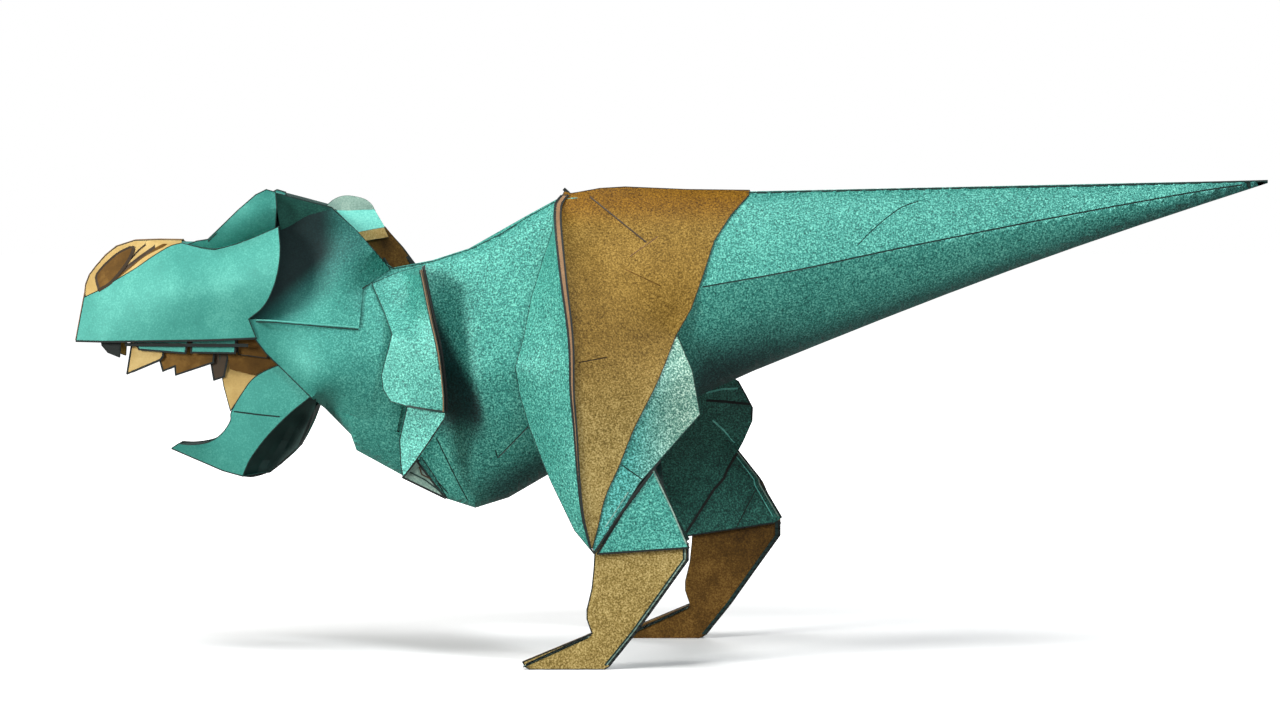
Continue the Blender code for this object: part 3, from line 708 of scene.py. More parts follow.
def body(piece):
    """Neck, torso and tail, with the creases that run over their sides."""
    ring = np.vstack([GRID[:, 0], GRID[-1, 1:-1], GRID[::-1, -1], GRID[0, -2:0:-1]])
    sites = GRID[1:-1:2, 1:-1, :][:, :, [0, 2]].reshape(-1, 2)
    tail_fold = curve([(8.0, 99.2), (32.7, 103.6), (60.6, 109.4), (99.3, 117.0), (138.2, 124.0), (153.0, 126.2)])
    creases = ((tail_fold, 1.0),
               (curve([(49.2, 110.2), (54.8, 115.5), (60.9, 120.0), (66.0, 121.9)]), 0.6),
               ([(-86.0, 65.2), (-79.4, 63.1), (-72.8, 60.4)], 0.8),
               ([(-38.3, 62.0), (-46.5, 53.5), (-47.1, 55.6)], 0.8),
               ([(-63.0, 58.5), (-59.0, 50.0), (-54.8, 41.5)], 0.8),
               ([(-68.3, 53.0), (-64.0, 48.0), (-60.3, 43.5)], 0.8),
               ([(-99.0, 76.5), (-96.5, 72.0), (-93.5, 68.2)], 0.8))
    folds = [(line, CREASE_WIDTH * share, FOLD) for line, share in creases]
    tail = ((20.0, 123.9), (22.0, 124.1), (60.0, 125.0), (110.0, 126.0))
    spine = ((-79.0, 105.8), (-74.6, 103.7), (-64.5, 105.6), (-54.5, 108.8), (-46.0, 113.0), (-39.0, 117.4),
             (-31.5, 121.6))
    for side in (NEAR, FAR):
        panel(piece, ring, side, folds=folds, depth=skin_depth, sites=sites, step=1.0,
              face=SKIN, back=SHADE, rim=TEAL, wave=0.7, line=0)
        # Dark lines along the tail's ridge and the spine, as painted shade
        trim(piece, [on_skin(x, z, RIDGE_LIFT) for x, z in tail] + [(159.8, 0.3, 127.3)], side, 0.5, FOLD)
        trim(piece, [on_skin(x, z, RIDGE_LIFT) for x, z in spine], side, 0.25, FOLD)


# Head

def head(back, up, out=0.0):
    return (SNOUT[0] + back, out, SNOUT[1] + up)


def head_line(corners):
    return [head(*corner) for corner in corners]


def head_flat(corners):
    return [(SNOUT[0] + back, SNOUT[1] + up) for back, up in corners]


def head_panel(piece, corners, side, inside=(), **look):
    """A panel whose corners and inside places are measured from the snout."""
    panel(piece, head_line(corners), side, inside=head_line(inside), **look)


def spanned(piece, corners, **look):
    """Paper from corners on the near side straight across to the far side."""
    near = head_line([(back, up, -out) for back, up, out in corners])
    ruled(piece, near, [(x, -y, z) for x, y, z in near], **look)


def to_middle(piece, edge, middle, side):
    """Paper from an edge on one side in to the line where both sides meet."""
    start = head_line([(back, up, side * out) for back, up, out in edge])
    ruled(piece, start, head_line(middle), flip=side == NEAR, back=SHADE, rim=DARK)


# Edges that several panels of the head share
LIP = ((0.0, 0.0, 2.2), (8.0, 0.0, 6.6), (22.0, 0.3, 9.8), (36.0, 0.6, 12.1), (49.5, 1.2, 13.6))
PATCH_EDGE = ((2.6, 11.8, 2.2), (6.6, 13.6, 4.0), (11.0, 16.2, 5.1), (16.5, 19.4, 5.9), (21.5, 22.8, 6.5),
              (26.0, 25.4, 6.8), (29.0, 26.2, 6.6))
SNOUT_TOP = ((2.5, 15.0, 0.4), (3.6, 17.6, 0.9), (5.5, 20.0, 1.3), (8.0, 22.8, 1.7), (11.0, 25.2, 2.0),
             (16.0, 26.8, 2.2), (22.0, 27.0, 2.4), (28.5, 26.9, 2.6))
BROW_FOOT = ((29.0, 26.2, 6.6), (38.0, 24.7, 9.6), (46.5, 26.9, 11.6), (55.5, 30.6, 13.4))
BROW_TOP = ((36.4, 27.2, 10.4), (38.8, 29.3, 12.4), (44.9, 35.0, 14.4), (49.7, 39.1, 15.0), (52.5, 40.5, 14.8),
            (54.9, 39.8, 14.2))
CHEEK = ((55.5, 30.6, 13.4), (56.2, 24.5, 16.2), (55.6, 18.4, 17.4), (53.7, 12.8, 17.0), (51.3, 9.1, 16.0),
         (47.6, 6.2, 14.4))
NOSTRIL = ((6.6, 13.6), (5.6, 16.9), (7.0, 19.2), (9.4, 21.6), (12.2, 23.7), (15.6, 25.0), (14.9, 22.3),
           (12.7, 18.9), (9.8, 15.6))
MOUTH_CORNER = ((46.9, 6.0, 14.0), (49.4, 0.6, 13.3), (52.0, -3.0, 12.6), (55.4, -6.4, 11.9), (64.0, -14.8, 12.8))
JAW_FOOT = ((25.4, -29.0, 1.8), (33.6, -32.2, 4.6), (39.7, -34.6, 6.6), (45.2, -36.0, 7.8))


def snout(piece):
    cheek = (list(LIP) + curve(CHEEK)[:0:-1] + curve(BROW_FOOT)[::-1] + curve(PATCH_EDGE)[-2:0:-1]
             + [(2.2, 11.6, 1.8)])
    full = [(30.0, 14.0, 12.0), (45.0, 16.0, 15.2), (18.0, 10.0, 8.9), (40.0, 8.0, 13.2)]
    patch = curve(PATCH_EDGE) + list(SNOUT_TOP)[::-1] + [(2.3, 13.0, 0.6)]
    # The nostril's slits are lines of painted shade
    folds = [(head_flat(curve([(10.9, 16.6), (15.0, 19.9), (18.9, 23.0), (24.0, 25.6)])), 0.9, KRAFT_IN_SHADE),
             (head_flat(curve([(12.9, 18.8), (17.5, 22.3), (21.6, 25.2)])), 0.8, TAN_FOLD),
             (head_flat(curve([(14.8, 21.6), (17.0, 24.0), (19.0, 25.8)])), 0.5, TAN_FOLD)]
    out_at = spline(np.array([corner[:2] for corner in patch]), np.array([corner[2] for corner in patch]))
    nostril = [(*place, float(out_at(np.array([place]))[0]) + NOSTRIL_LIFT)
               for place in curve(NOSTRIL + NOSTRIL[:1], 3)[:-1]]
    for side in (NEAR, FAR):
        head_panel(piece, cheek, side, full, rim=DARK)
        head_panel(piece, patch, side, folds=folds, face=CREAM, rim=EDGE, step=1.2)
        # The nostril: kraft in painted shade, ringed with a dark line
        head_panel(piece, nostril, side, face=KRAFT_IN_SHADE, back=KRAFT_IN_SHADE, rim=KRAFT_IN_SHADE, step=1.0, wall=0.2, ink=TAN_FOLD,
                   line=0.8)
        # A painted shadow under the lip
        trim(piece, head_line([(back, up - 0.2, out) for back, up, out in LIP]), side, 0.5, DARK, 0.0)
    spanned(piece, [(0.0, 0.0, 2.2), (2.2, 11.6, 1.8), (2.3, 13.0, 0.6), (2.5, 15.0, 0.4)], across=2)
    spanned(piece, SNOUT_TOP, across=3, face=CREAM)
    # The snout's underside in the painted-shade teal
    spanned(piece, [(0.4, 0.5, 2.0), (8.0, 1.2, 6.2), (22.0, 2.2, 9.3), (36.0, 3.2, 11.6), (49.0, 4.2, 13.0)],
            across=5, flip=True, face=SHADE, back=SHADE)


def brows(piece):
    outline = (list(BROW_TOP) + [(55.2, 35.5, 14.6), (54.6, 30.4, 12.2)]
               + curve([(51.0, 28.2, 10.6), (46.5, 26.1, 9.6), (42.0, 24.7, 8.6), (38.0, 23.9, 7.6),
                        (34.0, 24.4, 6.8), (30.0, 25.6, 5.6)]) + [(33.0, 26.7, 8.2)])
    full = [(50.5, 33.0, 14.8), (46.0, 30.8, 14.0), (41.5, 28.2, 12.2)]
    for side in (NEAR, FAR):
        head_panel(piece, outline, side, full, rim=DARK, back=SHADE)
        to_middle(piece, [(back, up - PAPER, out - PAPER) for back, up, out in BROW_TOP],
                  [(back, up - BROW_VALLEY) for back, up, out in BROW_TOP], side)
        to_middle(piece, [(28.0, 26.0, 6.4), (38.0, 24.6, 9.8), (46.5, 26.6, 11.8), (55.5, 30.2, 13.4)],
                  [(28.0, 26.6), (38.0, 26.4), (46.5, 28.6), (55.5, 32.0)], side)


def temple(piece, side, foot):
    """The sunk panel between the cheek's edge and the nape, with the cheek's shadow painted into it."""
    rear = head_line([(69.5, 35.6, 10.5), (75.8, 29.6, 9.0), (80.6, 24.2, 8.6)])
    nape = skin_line([(-75.6, 103.6, 0.6), (-82.6, 98.6, 0.7), (-82.9, 93.0, 0.8), (-83.2, 88.4, 0.8)])
    front = [(47.6, 6.2, 11.0), (48.5, 9.0, 9.6), (50.5, 20.0, 9.0), (52.5, 27.0, 8.6), (55.2, 33.0, 8.4)]
    sunk = [(70.3, 30.0, 8.6), (68.6, 23.3, 8.2), (62.2, 14.8, 8.8), (54.8, 9.4, 9.8), (75.0, 26.0, 8.9),
            (74.0, 17.0, 10.0), (66.5, 10.0, 10.8)]
    panel(piece, rear + nape + foot + head_line(front), side, rim=DARK, face=POCKET, back=SHADE, over=0.3,
          line=0, inside=head_line(sunk))
    trim(piece, rear + nape[:2], side, 0.3, FOLD, 0.05)


def crown(piece, side):
    """The dark patch on top, behind the brow flap, in the painted-shadow teal."""
    patch = [(54.6, 39.6, 14.0), (60.0, 38.2, 12.8), (69.5, 35.7, 10.6), (64.0, 32.0, 8.2), (55.6, 29.6, 8.4)]
    head_panel(piece, patch, side, [(58.0, 35.5, 10.8)], step=1.4, rim=DARK, back=SHADE, face=TEAL_IN_SHADOW, line=0)
    trim(piece, head_line(patch[:3]), side, 0.3, FOLD, 0.05)


def jowl(piece, side, foot):
    """The panel from the corner of the mouth back to the throat, with a lit fold along its top."""
    corner = head_line(MOUTH_CORNER)
    throat = skin_line([(-93.2, 66.2, 0.5), (-86.0, 65.2, 0.5), (-73.4, 60.6, 0.5), (-71.0, 72.0, 0.5),
                        (-71.0, 90.0, 0.4), (-76.0, 94.0, 0.4), (-82.0, 88.3, 0.7)])
    panel(piece, corner + throat + foot + [head(50.0, 6.0, 13.6)], side, rim=DARK, over=0.35, line=0)
    trim(piece, corner, side, 0.3, FOLD)
    # A painted highlight along the fold, and a line of painted shade just below it
    for drop, width, ink in ((0.0, 0.26, AQUA), (0.5, 0.3, FOLD)):
        fold = (head_line([(47.4, 6.0 - drop, 13.4), (54.0, 5.8 - drop, 13.9), (61.2, 5.2 - drop, 14.2)])
                + skin_line([(-91.0, 89.0 - drop, 1.2), (-83.4, 88.4 - drop, 1.2)]))
        trim(piece, fold, side, width, ink, 0.1)


def head_back(piece):
    for side in (NEAR, FAR):
        foot = [on_skin(-91.0, 89.0, 0.9), head(61.2, 5.2, 12.4), head(54.0, 5.8, 12.0)]
        temple(piece, side, foot)
        crown(piece, side)
        jowl(piece, side, foot)
        to_middle(piece, [(54.5, 38.9, 12.4), (69.4, 35.0, 9.9), (75.6, 28.9, 8.4), (80.0, 23.6, 8.0)],
                  [(51.5, 34.5), (69.0, 33.5), (76.5, 26.5), (81.0, 21.0)], side)


def far_crest(piece):
    """The taller fold on the far side, whose inner face shows past the near one."""
    cap = curve([(66.3, 35.8, 6.8), (68.7, 37.9, 8.8), (71.9, 38.8, 9.6), (76.3, 38.0, 9.6), (78.5, 36.5, 9.4),
                 (79.6, 34.6, 9.2)]) + [(69.5, 34.8, 8.4)]
    band = [(66.4, 35.4, 8.6), (79.4, 34.9, 9.2), (82.4, 30.2, 6.4), (74.6, 28.6, 5.6)]
    strip = [(82.4, 30.4, 7.0), (87.0, 24.8, 6.6), (90.2, 20.6, 6.0), (84.0, 17.2, 5.6), (78.0, 22.0, 5.8),
             (74.0, 29.0, 6.2)]
    lit = [(82.2, 30.2, 6.1), (83.4, 27.6, 5.9), (77.0, 26.6, 5.3), (74.6, 28.8, 5.4)]
    edge = [(81.6, 31.0, 8.4), (87.3, 24.8, 7.0), (90.6, 20.5, 5.6), (89.8, 20.1, 5.5), (86.3, 24.1, 6.9),
            (80.6, 30.4, 8.3)]
    # Its inner face shows a pale cap, a band with a painted highlight, a strip in painted shade with a lit part as
    # painted highlight, and a dark edge as painted shadow
    head_panel(piece, cap, FAR, back=PALE, rim=DARK, step=1.5)
    head_panel(piece, band, FAR, back=AQUA, rim=DARK, step=1.5, line=0.2)
    head_panel(piece, strip, FAR, back=KRAFT_IN_SHADE, rim=DARK, step=1.5, ink=DARK)
    head_panel(piece, lit, FAR, back=CREAM, step=1.5)
    head_panel(piece, edge, FAR, face=DARK, back=DARK, rim=DARK, step=1.5)


def lip_out(back):
    """How far out the lip lies, so far back from the snout's front."""
    return float(np.interp(back, [corner[0] for corner in LIP], [corner[2] for corner in LIP]))


def inside_mouth(piece, side):
    """The folds of brown paper at the corner of the mouth, with painted shade in the deep fold and a painted
    shadow along the top.
    """
    # The deep fold in painted shade on kraft
    deep = [(back, up, lip_out(47.0) - 3.2) for back, up in ((44.2, 0.6), (44.4, -3.4), (52.0, -4.4), (53.0, 0.6))]
    head_panel(piece, deep, side, face=KRAFT_IN_SHADE, back=KRAFT_IN_SHADE, rim=DARK, step=1.5, ink=DARK)
    corner = [(39.2, 2.6, 9.0), (39.4, -6.4, 8.8), (40.3, -12.0, 8.6), (42.0, -18.6, 8.4), (44.4, -15.2, 9.0),
              (48.4, -9.8, 9.2), (55.0, -6.3, 9.4), (60.0, -5.0, 9.2), (60.0, 2.6, 9.0)]
    head_panel(piece, corner, side, [(48.0, -4.0, 7.2)], face=CREAM, back=CREAM, rim=EDGE)
    # A painted shadow under the lip at the top of the corner
    top_shadow = [(41.4, -2.6, 9.4), (42.0, -7.4, 9.3), (48.4, -9.0, 9.5), (55.0, -6.0, 9.7), (56.0, -2.0, 9.4)]
    head_panel(piece, top_shadow, side, face=KRAFT_IN_SHADE, back=KRAFT_IN_SHADE, rim=KRAFT_IN_SHADE, step=1.5, line=0)


def teeth(piece):
    tip = ((7.0, 0.6), (7.4, -1.2), (9.0, -3.0), (12.1, -4.2), (12.3, -0.9), (12.3, 0.6))
    first = ((15.2, 0.6), (15.4, -1.2), (14.1, -8.8), (23.3, -4.9), (24.0, -4.0), (24.0, 0.8))
    second = ((22.6, 0.8), (23.0, -4.6), (23.9, -8.0), (27.2, -6.6), (27.4, -9.0), (37.6, -5.6), (38.0, 0.8))
    third = ((36.4, 0.8), (36.9, -5.4), (37.7, -10.3), (40.4, -9.4), (41.6, -3.2), (47.8, -1.6), (47.8, 1.2))
    gum_front = ((15.6, 0.8), (17.6, -2.2), (30.2, -3.1), (31.0, 0.8))
    gum_back = ((32.0, 0.8), (31.8, -2.9), (43.6, -3.0), (44.0, 1.0))
    # The tip, the second and the third tooth are in dark finishes as painted shade, and every tooth and gum is
    # ringed with a dark line of painted shade
    layers = ((tip, 1.6, DARK, DARK), (first, 2.4, CREAM, EDGE), (second, 3.0, KRAFT_IN_SHADE, DARK),
              (third, 3.6, TAN_FOLD, DARK), (gum_front, 1.5, TEAL, DARK), (gum_back, 1.6, TEAL, DARK))
    for side in (NEAR, FAR):
        for outline, inset, face, rim in layers:
            corners = [head(back, up, lip_out(back) - inset) for back, up in outline]
            panel(piece, corners, side, face=face, rim=rim, step=1.2, wave=0.4, ink=DARK, line=0.5)
        # A painted shadow under the lip, over the gums
        shade = head_line([(back, -0.9, lip_out(back) - 0.9) for back in (14.0, 24.0, 36.0, 47.0)])
        trim(piece, shade, side, 0.9, DARK, 0.0)
        inside_mouth(piece, side)


def jaw(piece):
    upper = curve([(60.5, -5.6, 11.4), (55.4, -6.2, 10.9), (48.8, -9.4, 10.2), (45.0, -14.2, 9.6),
                   (42.3, -18.8, 9.0), (42.0, -21.2, 8.8), (39.7, -24.6, 8.4), (36.0, -27.0, 7.6),
                   (31.2, -27.8, 6.0), (27.6, -27.6, 4.2)])
    sunk = curve([(45.8, -34.4, 8.4), (47.7, -30.8, 9.2), (52.0, -25.2, 10.2), (58.1, -19.1, 11.3),
                  (63.7, -14.6, 12.2)])
    rear = curve([(64.9, -14.4, 11.6), (64.8, -17.0, 10.0), (62.9, -22.4, 7.6), (59.7, -28.4, 5.6),
                  (55.4, -32.7, 4.2), (52.0, -35.2, 3.6), (47.7, -36.5, 4.4), (45.2, -36.2, 6.8)])
    inner = [(45.6, -34.4, 7.6), (47.5, -30.8, 8.2), (51.6, -25.4, 9.2), (57.6, -19.4, 10.2), (62.8, -14.2, 11.2)]
    fold = head_flat([(43.0, -18.7), (49.0, -19.4), (55.4, -20.0)])
    for side in (NEAR, FAR):
        head_panel(piece, upper + curve(JAW_FOOT) + sunk + [(64.8, -10.0, 12.6)], side,
                   [(50.0, -18.0, 10.4), (40.0, -29.0, 8.0)], folds=[(fold, CREASE_WIDTH, FOLD)],
                   rim=DARK, back=SHADE)
        # The pocket of the jaw in the painted-shade teal
        head_panel(piece, rear + inner, side, [(60.5, -20.5, 6.0), (55.5, -26.5, 3.6), (50.5, -32.0, 3.4)],
                   face=SHADE, back=TEAL, rim=DARK)
    spanned(piece, JAW_FOOT + ((52.0, -35.2, 3.8), (59.7, -28.4, 5.6), (64.8, -17.0, 9.8)), flip=True,
            back=SHADE, rim=DARK)
    # The jaw's floor in painted shade on kraft
    spanned(piece, [(28.0, -28.2, 4.0), (36.0, -27.9, 6.8), (40.5, -26.0, 7.8), (44.0, -20.0, 8.4),
                    (50.0, -12.0, 9.2), (60.0, -8.0, 10.4)], face=KRAFT_IN_SHADE, back=SHADE, rim=DARK)


# Arms

def shoulder_flap(piece, side):
    """The flap that hangs from the shoulder, with two more edges of paper behind its own, faced near-black as
    painted shadow in the gap under it.
    """
    root = skin_line([(-80.2, 99.9, 0.7), (-73.4, 102.8, 0.9), (-66.9, 104.6, 1.4)])
    rear = curve([(-66.4, 15.0, 103.6), (-64.0, 18.4, 92.7), (-61.5, 21.4, 82.1), (-60.3, 21.8, 71.3),
                  (-60.2, 21.5, 66.5)])
    front = [(-70.0, 18.8, 67.8), (-74.6, 16.9, 69.0), (-76.6, 16.0, 72.0), (-77.1, 15.8, 75.8),
             (-75.8, 16.0, 80.8), (-74.2, 16.4, 86.7), on_skin(-76.6, 92.2, 0.8)]
    full = skin_line([(-73.5, 96.5, 1.6), (-70.0, 98.5, 2.4)]) + [(-69.0, 18.6, 84.0), (-68.0, 19.3, 75.0)]
    shape = panel(piece, root + rear + front, side, inside=full, rim=EDGE, over=0.6, line=0.2)
    under = moved(root[2:] + rear, 0.35, up=0.1) + [(-67.0, 17.0, 69.6), (-68.0, 16.5, 84.0), (-70.0, 14.8, 97.0)]
    for drop in (0.8, 1.5):
        panel(piece, moved(under, drop * 0.3), side, rim=DARK, face=DARK, back=TEAL, ink=DARK,
              depth=lambda spots: shape(spots) - drop)
    trim(piece, moved(rear, -0.25), side, 0.26, EDGE, 0.14)
    trim(piece, moved(rear[:-8], -0.55), side, 0.22, FOLD, 0.18)
    trim(piece, [front[0], (-65.0, 21.0, 67.1), rear[-1]], side, 0.5, FOLD, 0.1)


def forearm(piece, side):
    """The forearm, with the small hand folded in front of its own back."""
    fore = [(-70.2, 17.6, 67.6), (-59.9, 20.9, 66.2), (-60.0, 21.0, 64.9), (-64.0, 20.2, 58.9),
            (-67.7, 19.4, 53.6), (-71.3, 18.4, 48.9), (-71.9, 17.6, 52.3), (-72.2, 17.0, 58.8)]
    hand = [(-67.8, 18.0, 53.4), (-71.4, 17.6, 48.8), (-60.2, 16.4, 43.2), (-64.6, 17.2, 49.0)]
    back = [(-66.6, 16.6, 54.2), (-69.0, 16.4, 50.0), (-59.7, 15.6, 43.0), (-63.2, 16.2, 49.2)]
    panel(piece, fore, side, rim=EDGE, line=0.3)
    # A dark line along the forearm's lower edge, as painted shadow
    trim(piece, fore[1:6], side, 0.35, DARK, 0.1)
    panel(piece, hand, side, rim=EDGE, face=PALE, step=1.5, line=0.55, ink=DARK)
    trim(piece, [(-69.4, 17.9, 50.2), (-65.6, 17.2, 48.2), (-61.2, 16.6, 44.8)], side, 0.35, FOLD, 0.15)
    trim(piece, [(-67.0, 17.9, 51.6), (-66.4, 17.6, 49.6), (-64.0, 17.2, 48.4)], side, 0.35, TAN_FOLD, 0.15)
    panel(piece, back, side, rim=DARK, step=1.5, ink=DARK)


def arms(piece):
    for side in (NEAR, FAR):
        shoulder_flap(piece, side)
        forearm(piece, side)


# Hips and legs

SEAM = ((-29.4, 1.2, 123.4), (-30.6, 2.8, 121.9), (-31.2, 4.6, 120.0), (-31.0, 11.6, 114.5),
        (-29.5, 20.0, 102.0), (-27.2, 27.0, 85.5), (-26.7, 30.6, 72.5), (-25.8, 32.2, 63.0),
        (-24.8, 33.6, 50.4), (-23.6, 35.4, 40.4), (-21.6, 36.1, 32.3))
LOW = ((0.9, 16.6, 86.4), (-4.0, 24.5, 74.6), (-10.1, 28.0, 62.6), (-14.1, 30.6, 52.8), (-17.7, 32.6, 44.8),
       (-19.5, 34.4, 37.4), (-21.0, 35.9, 31.8))


def hip_panel(piece, side, seam, low):
    """The broad brown panel, from the ridge of the back down to the knee."""
    edge = skin_line([(20.6, 123.6, 0.3), (15.6, 118.2, 0.6), (11.1, 111.4, 0.6), (7.9, 101.8, 0.8),
                      (4.9, 93.4, 1.2)])
    ridge = [(-28.7, 0.0, 124.9), (-27.2, 0.0, 123.9), (-22.7, 0.0, 124.7), (-19.4, 0.0, 125.3),
             (-12.6, 0.0, 125.7), (-7.8, 0.0, 125.5), (4.0, 0.0, 125.0), (20.8, 0.0, 124.8)]
    saddle = skin_line([(x, z, 0.7) for x in (-20.0, -8.0, 4.0) for z in (118.5, 112.0)] + [(-2.0, 100.0, 1.6)])
    folds = [([(-22.0, 123.0), (-14.5, 117.0), (-7.0, 111.0)], 0.42, TAN_FOLD),
             ([(-11.3, 107.2), (-3.8, 112.5)], 0.26, EDGE),
             ([(-12.6, 103.9), (-3.0, 99.4)], 0.28, KRAFT_IN_SHADE),
             ([(-24.6, 79.8), (-17.3, 81.0)], 0.30, TAN_FOLD)]
    panel(piece, ridge[::-1] + seam + low[::-1] + edge[::-1], side, folds=folds, inside=saddle, leg=True,
          face=KRAFT, rim=DARK, over=0.45)


def front_strip(piece, side, seam):
    """The narrow strip in front of the hip, and the tan edge where the two meet."""
    strip = skin_line([(-30.4, 122.2, 0.3), (-31.6, 120.0, 0.5), (-31.9, 114.3, 0.8), (-34.4, 106.6, 0.8),
                       (-37.4, 96.6, 0.8), (-39.4, 86.0, 0.8), (-41.6, 78.0, 0.9), (-40.5, 70.8, 0.9)])
    strip += [(-38.0, 17.4, 62.6), (-34.6, 20.5, 54.0), (-32.0, 26.0, 48.4), (-25.7, 33.2, 36.2),
              (-20.6, 36.3, 30.4)]
    panel(piece, strip + moved(seam, -0.25, -0.1)[::-1], side, leg=True, rim=DARK, over=0.5, line=0.2,
          inside=[(-34.5, 19.8, 86.0), (-33.0, 24.0, 72.0), (-30.0, 28.4, 56.0)])
    rear = [(x + SEAM_BAND * min(1.0, (z - SEAM_BAND_FOOT) / SEAM_BAND_RISE), out + 0.5, z) for x, out, z in seam]
    panel(piece, moved(seam, out=0.3) + rear[::-1], side, leg=True, face=EDGE, rim=DARK, step=1.5, line=0.5,
          ink=DARK)


def thigh_back(piece, side, low):
    """The panel behind the hip, painted lighter as a highlight, down to the knee, and the small triangle over it.
    """
    rear = ([(1.2, 17.0, 86.6)] + curve([(5.2, 20.0, 77.2), (7.2, 22.0, 65.8)])
            + [(-4.0, 28.4, 53.6), (-8.6, 31.0, 48.6), (-20.2, 36.2, 30.4)])
    panel(piece, rear + moved(low, out=-0.35)[::-1], side, leg=True, face=THIGH_HIGHLIGHT, rim=DARK, over=0.5,
          folds=[([(-13.3, 53.0), (-8.1, 49.4)], 0.34, FOLD)])
    # A dark crease line as painted shade, and a pale line beside it as painted highlight
    trim(piece, [(-3.4, 29.0, 54.0), (-9.0, 31.4, 47.0), (-14.6, 33.8, 39.4), (-20.6, 36.2, 30.5)], side, 0.45,
         DARK, 0.3, leg=True)
    trim(piece, [(-11.7, 31.6, 46.1), (-14.8, 33.2, 41.4), (-17.7, 34.8, 37.2)], side, 0.2, PALE, 0.5, leg=True)
    knee = [(-4.7, 28.9, 51.9), (4.1, 35.8, 31.9), (-19.6, 36.0, 30.3), (-13.0, 33.0, 41.0)]
    panel(piece, knee, side, leg=True, rim=EDGE, line=0.5, ink=DARK)
    trim(piece, [(-5.1, 29.1, 51.3), (-0.5, 32.4, 42.0), (3.4, 35.6, 33.0)], side, 0.36, PALE, 0.3, leg=True)


def hips(piece):
    seam = curve(SEAM)
    low = curve(LOW)
    for side in (NEAR, FAR):
        hip_panel(piece, side, seam, low)
        front_strip(piece, side, seam)
        thigh_back(piece, side, low)
        # Painted shade along the ridge and at the front corner
        trim(piece, [(-28.7, 0.3, 124.7), (-27.2, 0.3, 123.8), (-22.7, 0.5, 124.5), (-12.6, 0.5, 125.5),
                     (-7.8, 0.5, 125.3), (4.0, 0.5, 124.8), (20.8, 0.5, 124.5)], side, 0.5, TAN_FOLD, 0.1)
        trim(piece, [(-28.9, 0.6, 125.0), (-28.0, 0.6, 124.2)], side, 0.9, DARK, 0.1)


def inner_legs(piece):
    """The inner faces of the thighs in painted shade, of which the far one shows behind the near leg and carries
    dark lines of painted shade and light lines of painted highlight.
    """
    marks = (([(-3.6, 52.2), (-9.0, 47.6), (-14.3, 42.2), (-22.1, 29.8)], 0.7, DARK),
             ([(-3.0, 53.2), (-1.4, 43.5), (4.2, 34.0)], 0.45, DARK),
             ([(-3.3, 52.4), (-1.9, 43.2), (3.4, 34.2)], 0.3, PALE),
             ([(-4.4, 51.4), (-3.2, 43.0), (1.8, 34.2)], 0.25, AQUA),
             ([(-2.6, 42.4), (-8.2, 31.2)], 0.2, DARK),
             ([(-21.8, 28.7), (1.9, 32.3)], 0.4, DARK),
             ([(-2.9, 67.3), (2.0, 66.9), (8.0, 66.2)], 0.7, DARK),
             ([(-1.8, 69.4), (3.1, 70.4), (7.4, 70.6)], 0.5, AQUA),
             ([(-4.7, 61.6), (-3.3, 58.8), (-2.5, 55.4)], 0.5, AQUA),
             ([(6.0, 61.8), (8.3, 65.2), (8.6, 68.6), (8.8, 72.4)], 0.4, DARK))
    for side in (NEAR, FAR):
        fuller = FAR_THIGH_FULLER if side == FAR else 0.0
        outline = [(-36.0, 14.0, 60.0), (-31.0 - fuller, 25.2, 48.0), (-25.2 - fuller, 32.2, 37.0),
                   (-20.4 - fuller * 1.2, 32.4, 31.4), (-20.2 - fuller * 0.6, 32.0, 28.6), (1.9, 32.0, 32.2),
                   (4.4, 32.2, 33.8), (-1.8, 29.6, 43.6), (-3.0, 25.4, 52.8), (-3.4 + fuller, 22.0, 55.4),
                   (3.0 + fuller, 20.0, 61.6), (5.3 + fuller, 18.4, 65.2), (5.6 + fuller, 17.6, 68.6),
                   (5.8 + fuller, 16.0, 72.6), (1.4 + fuller, 15.0, 78.0)]
        depth = panel(piece, outline, side, leg=True, face=SHADE, back=TEAL_IN_SHADOW, rim=DARK, line=0)
        for line, width, ink in marks if side == FAR else ():
            trim(piece, drawn(depth, line), side, width, ink, -0.25, leg=True)


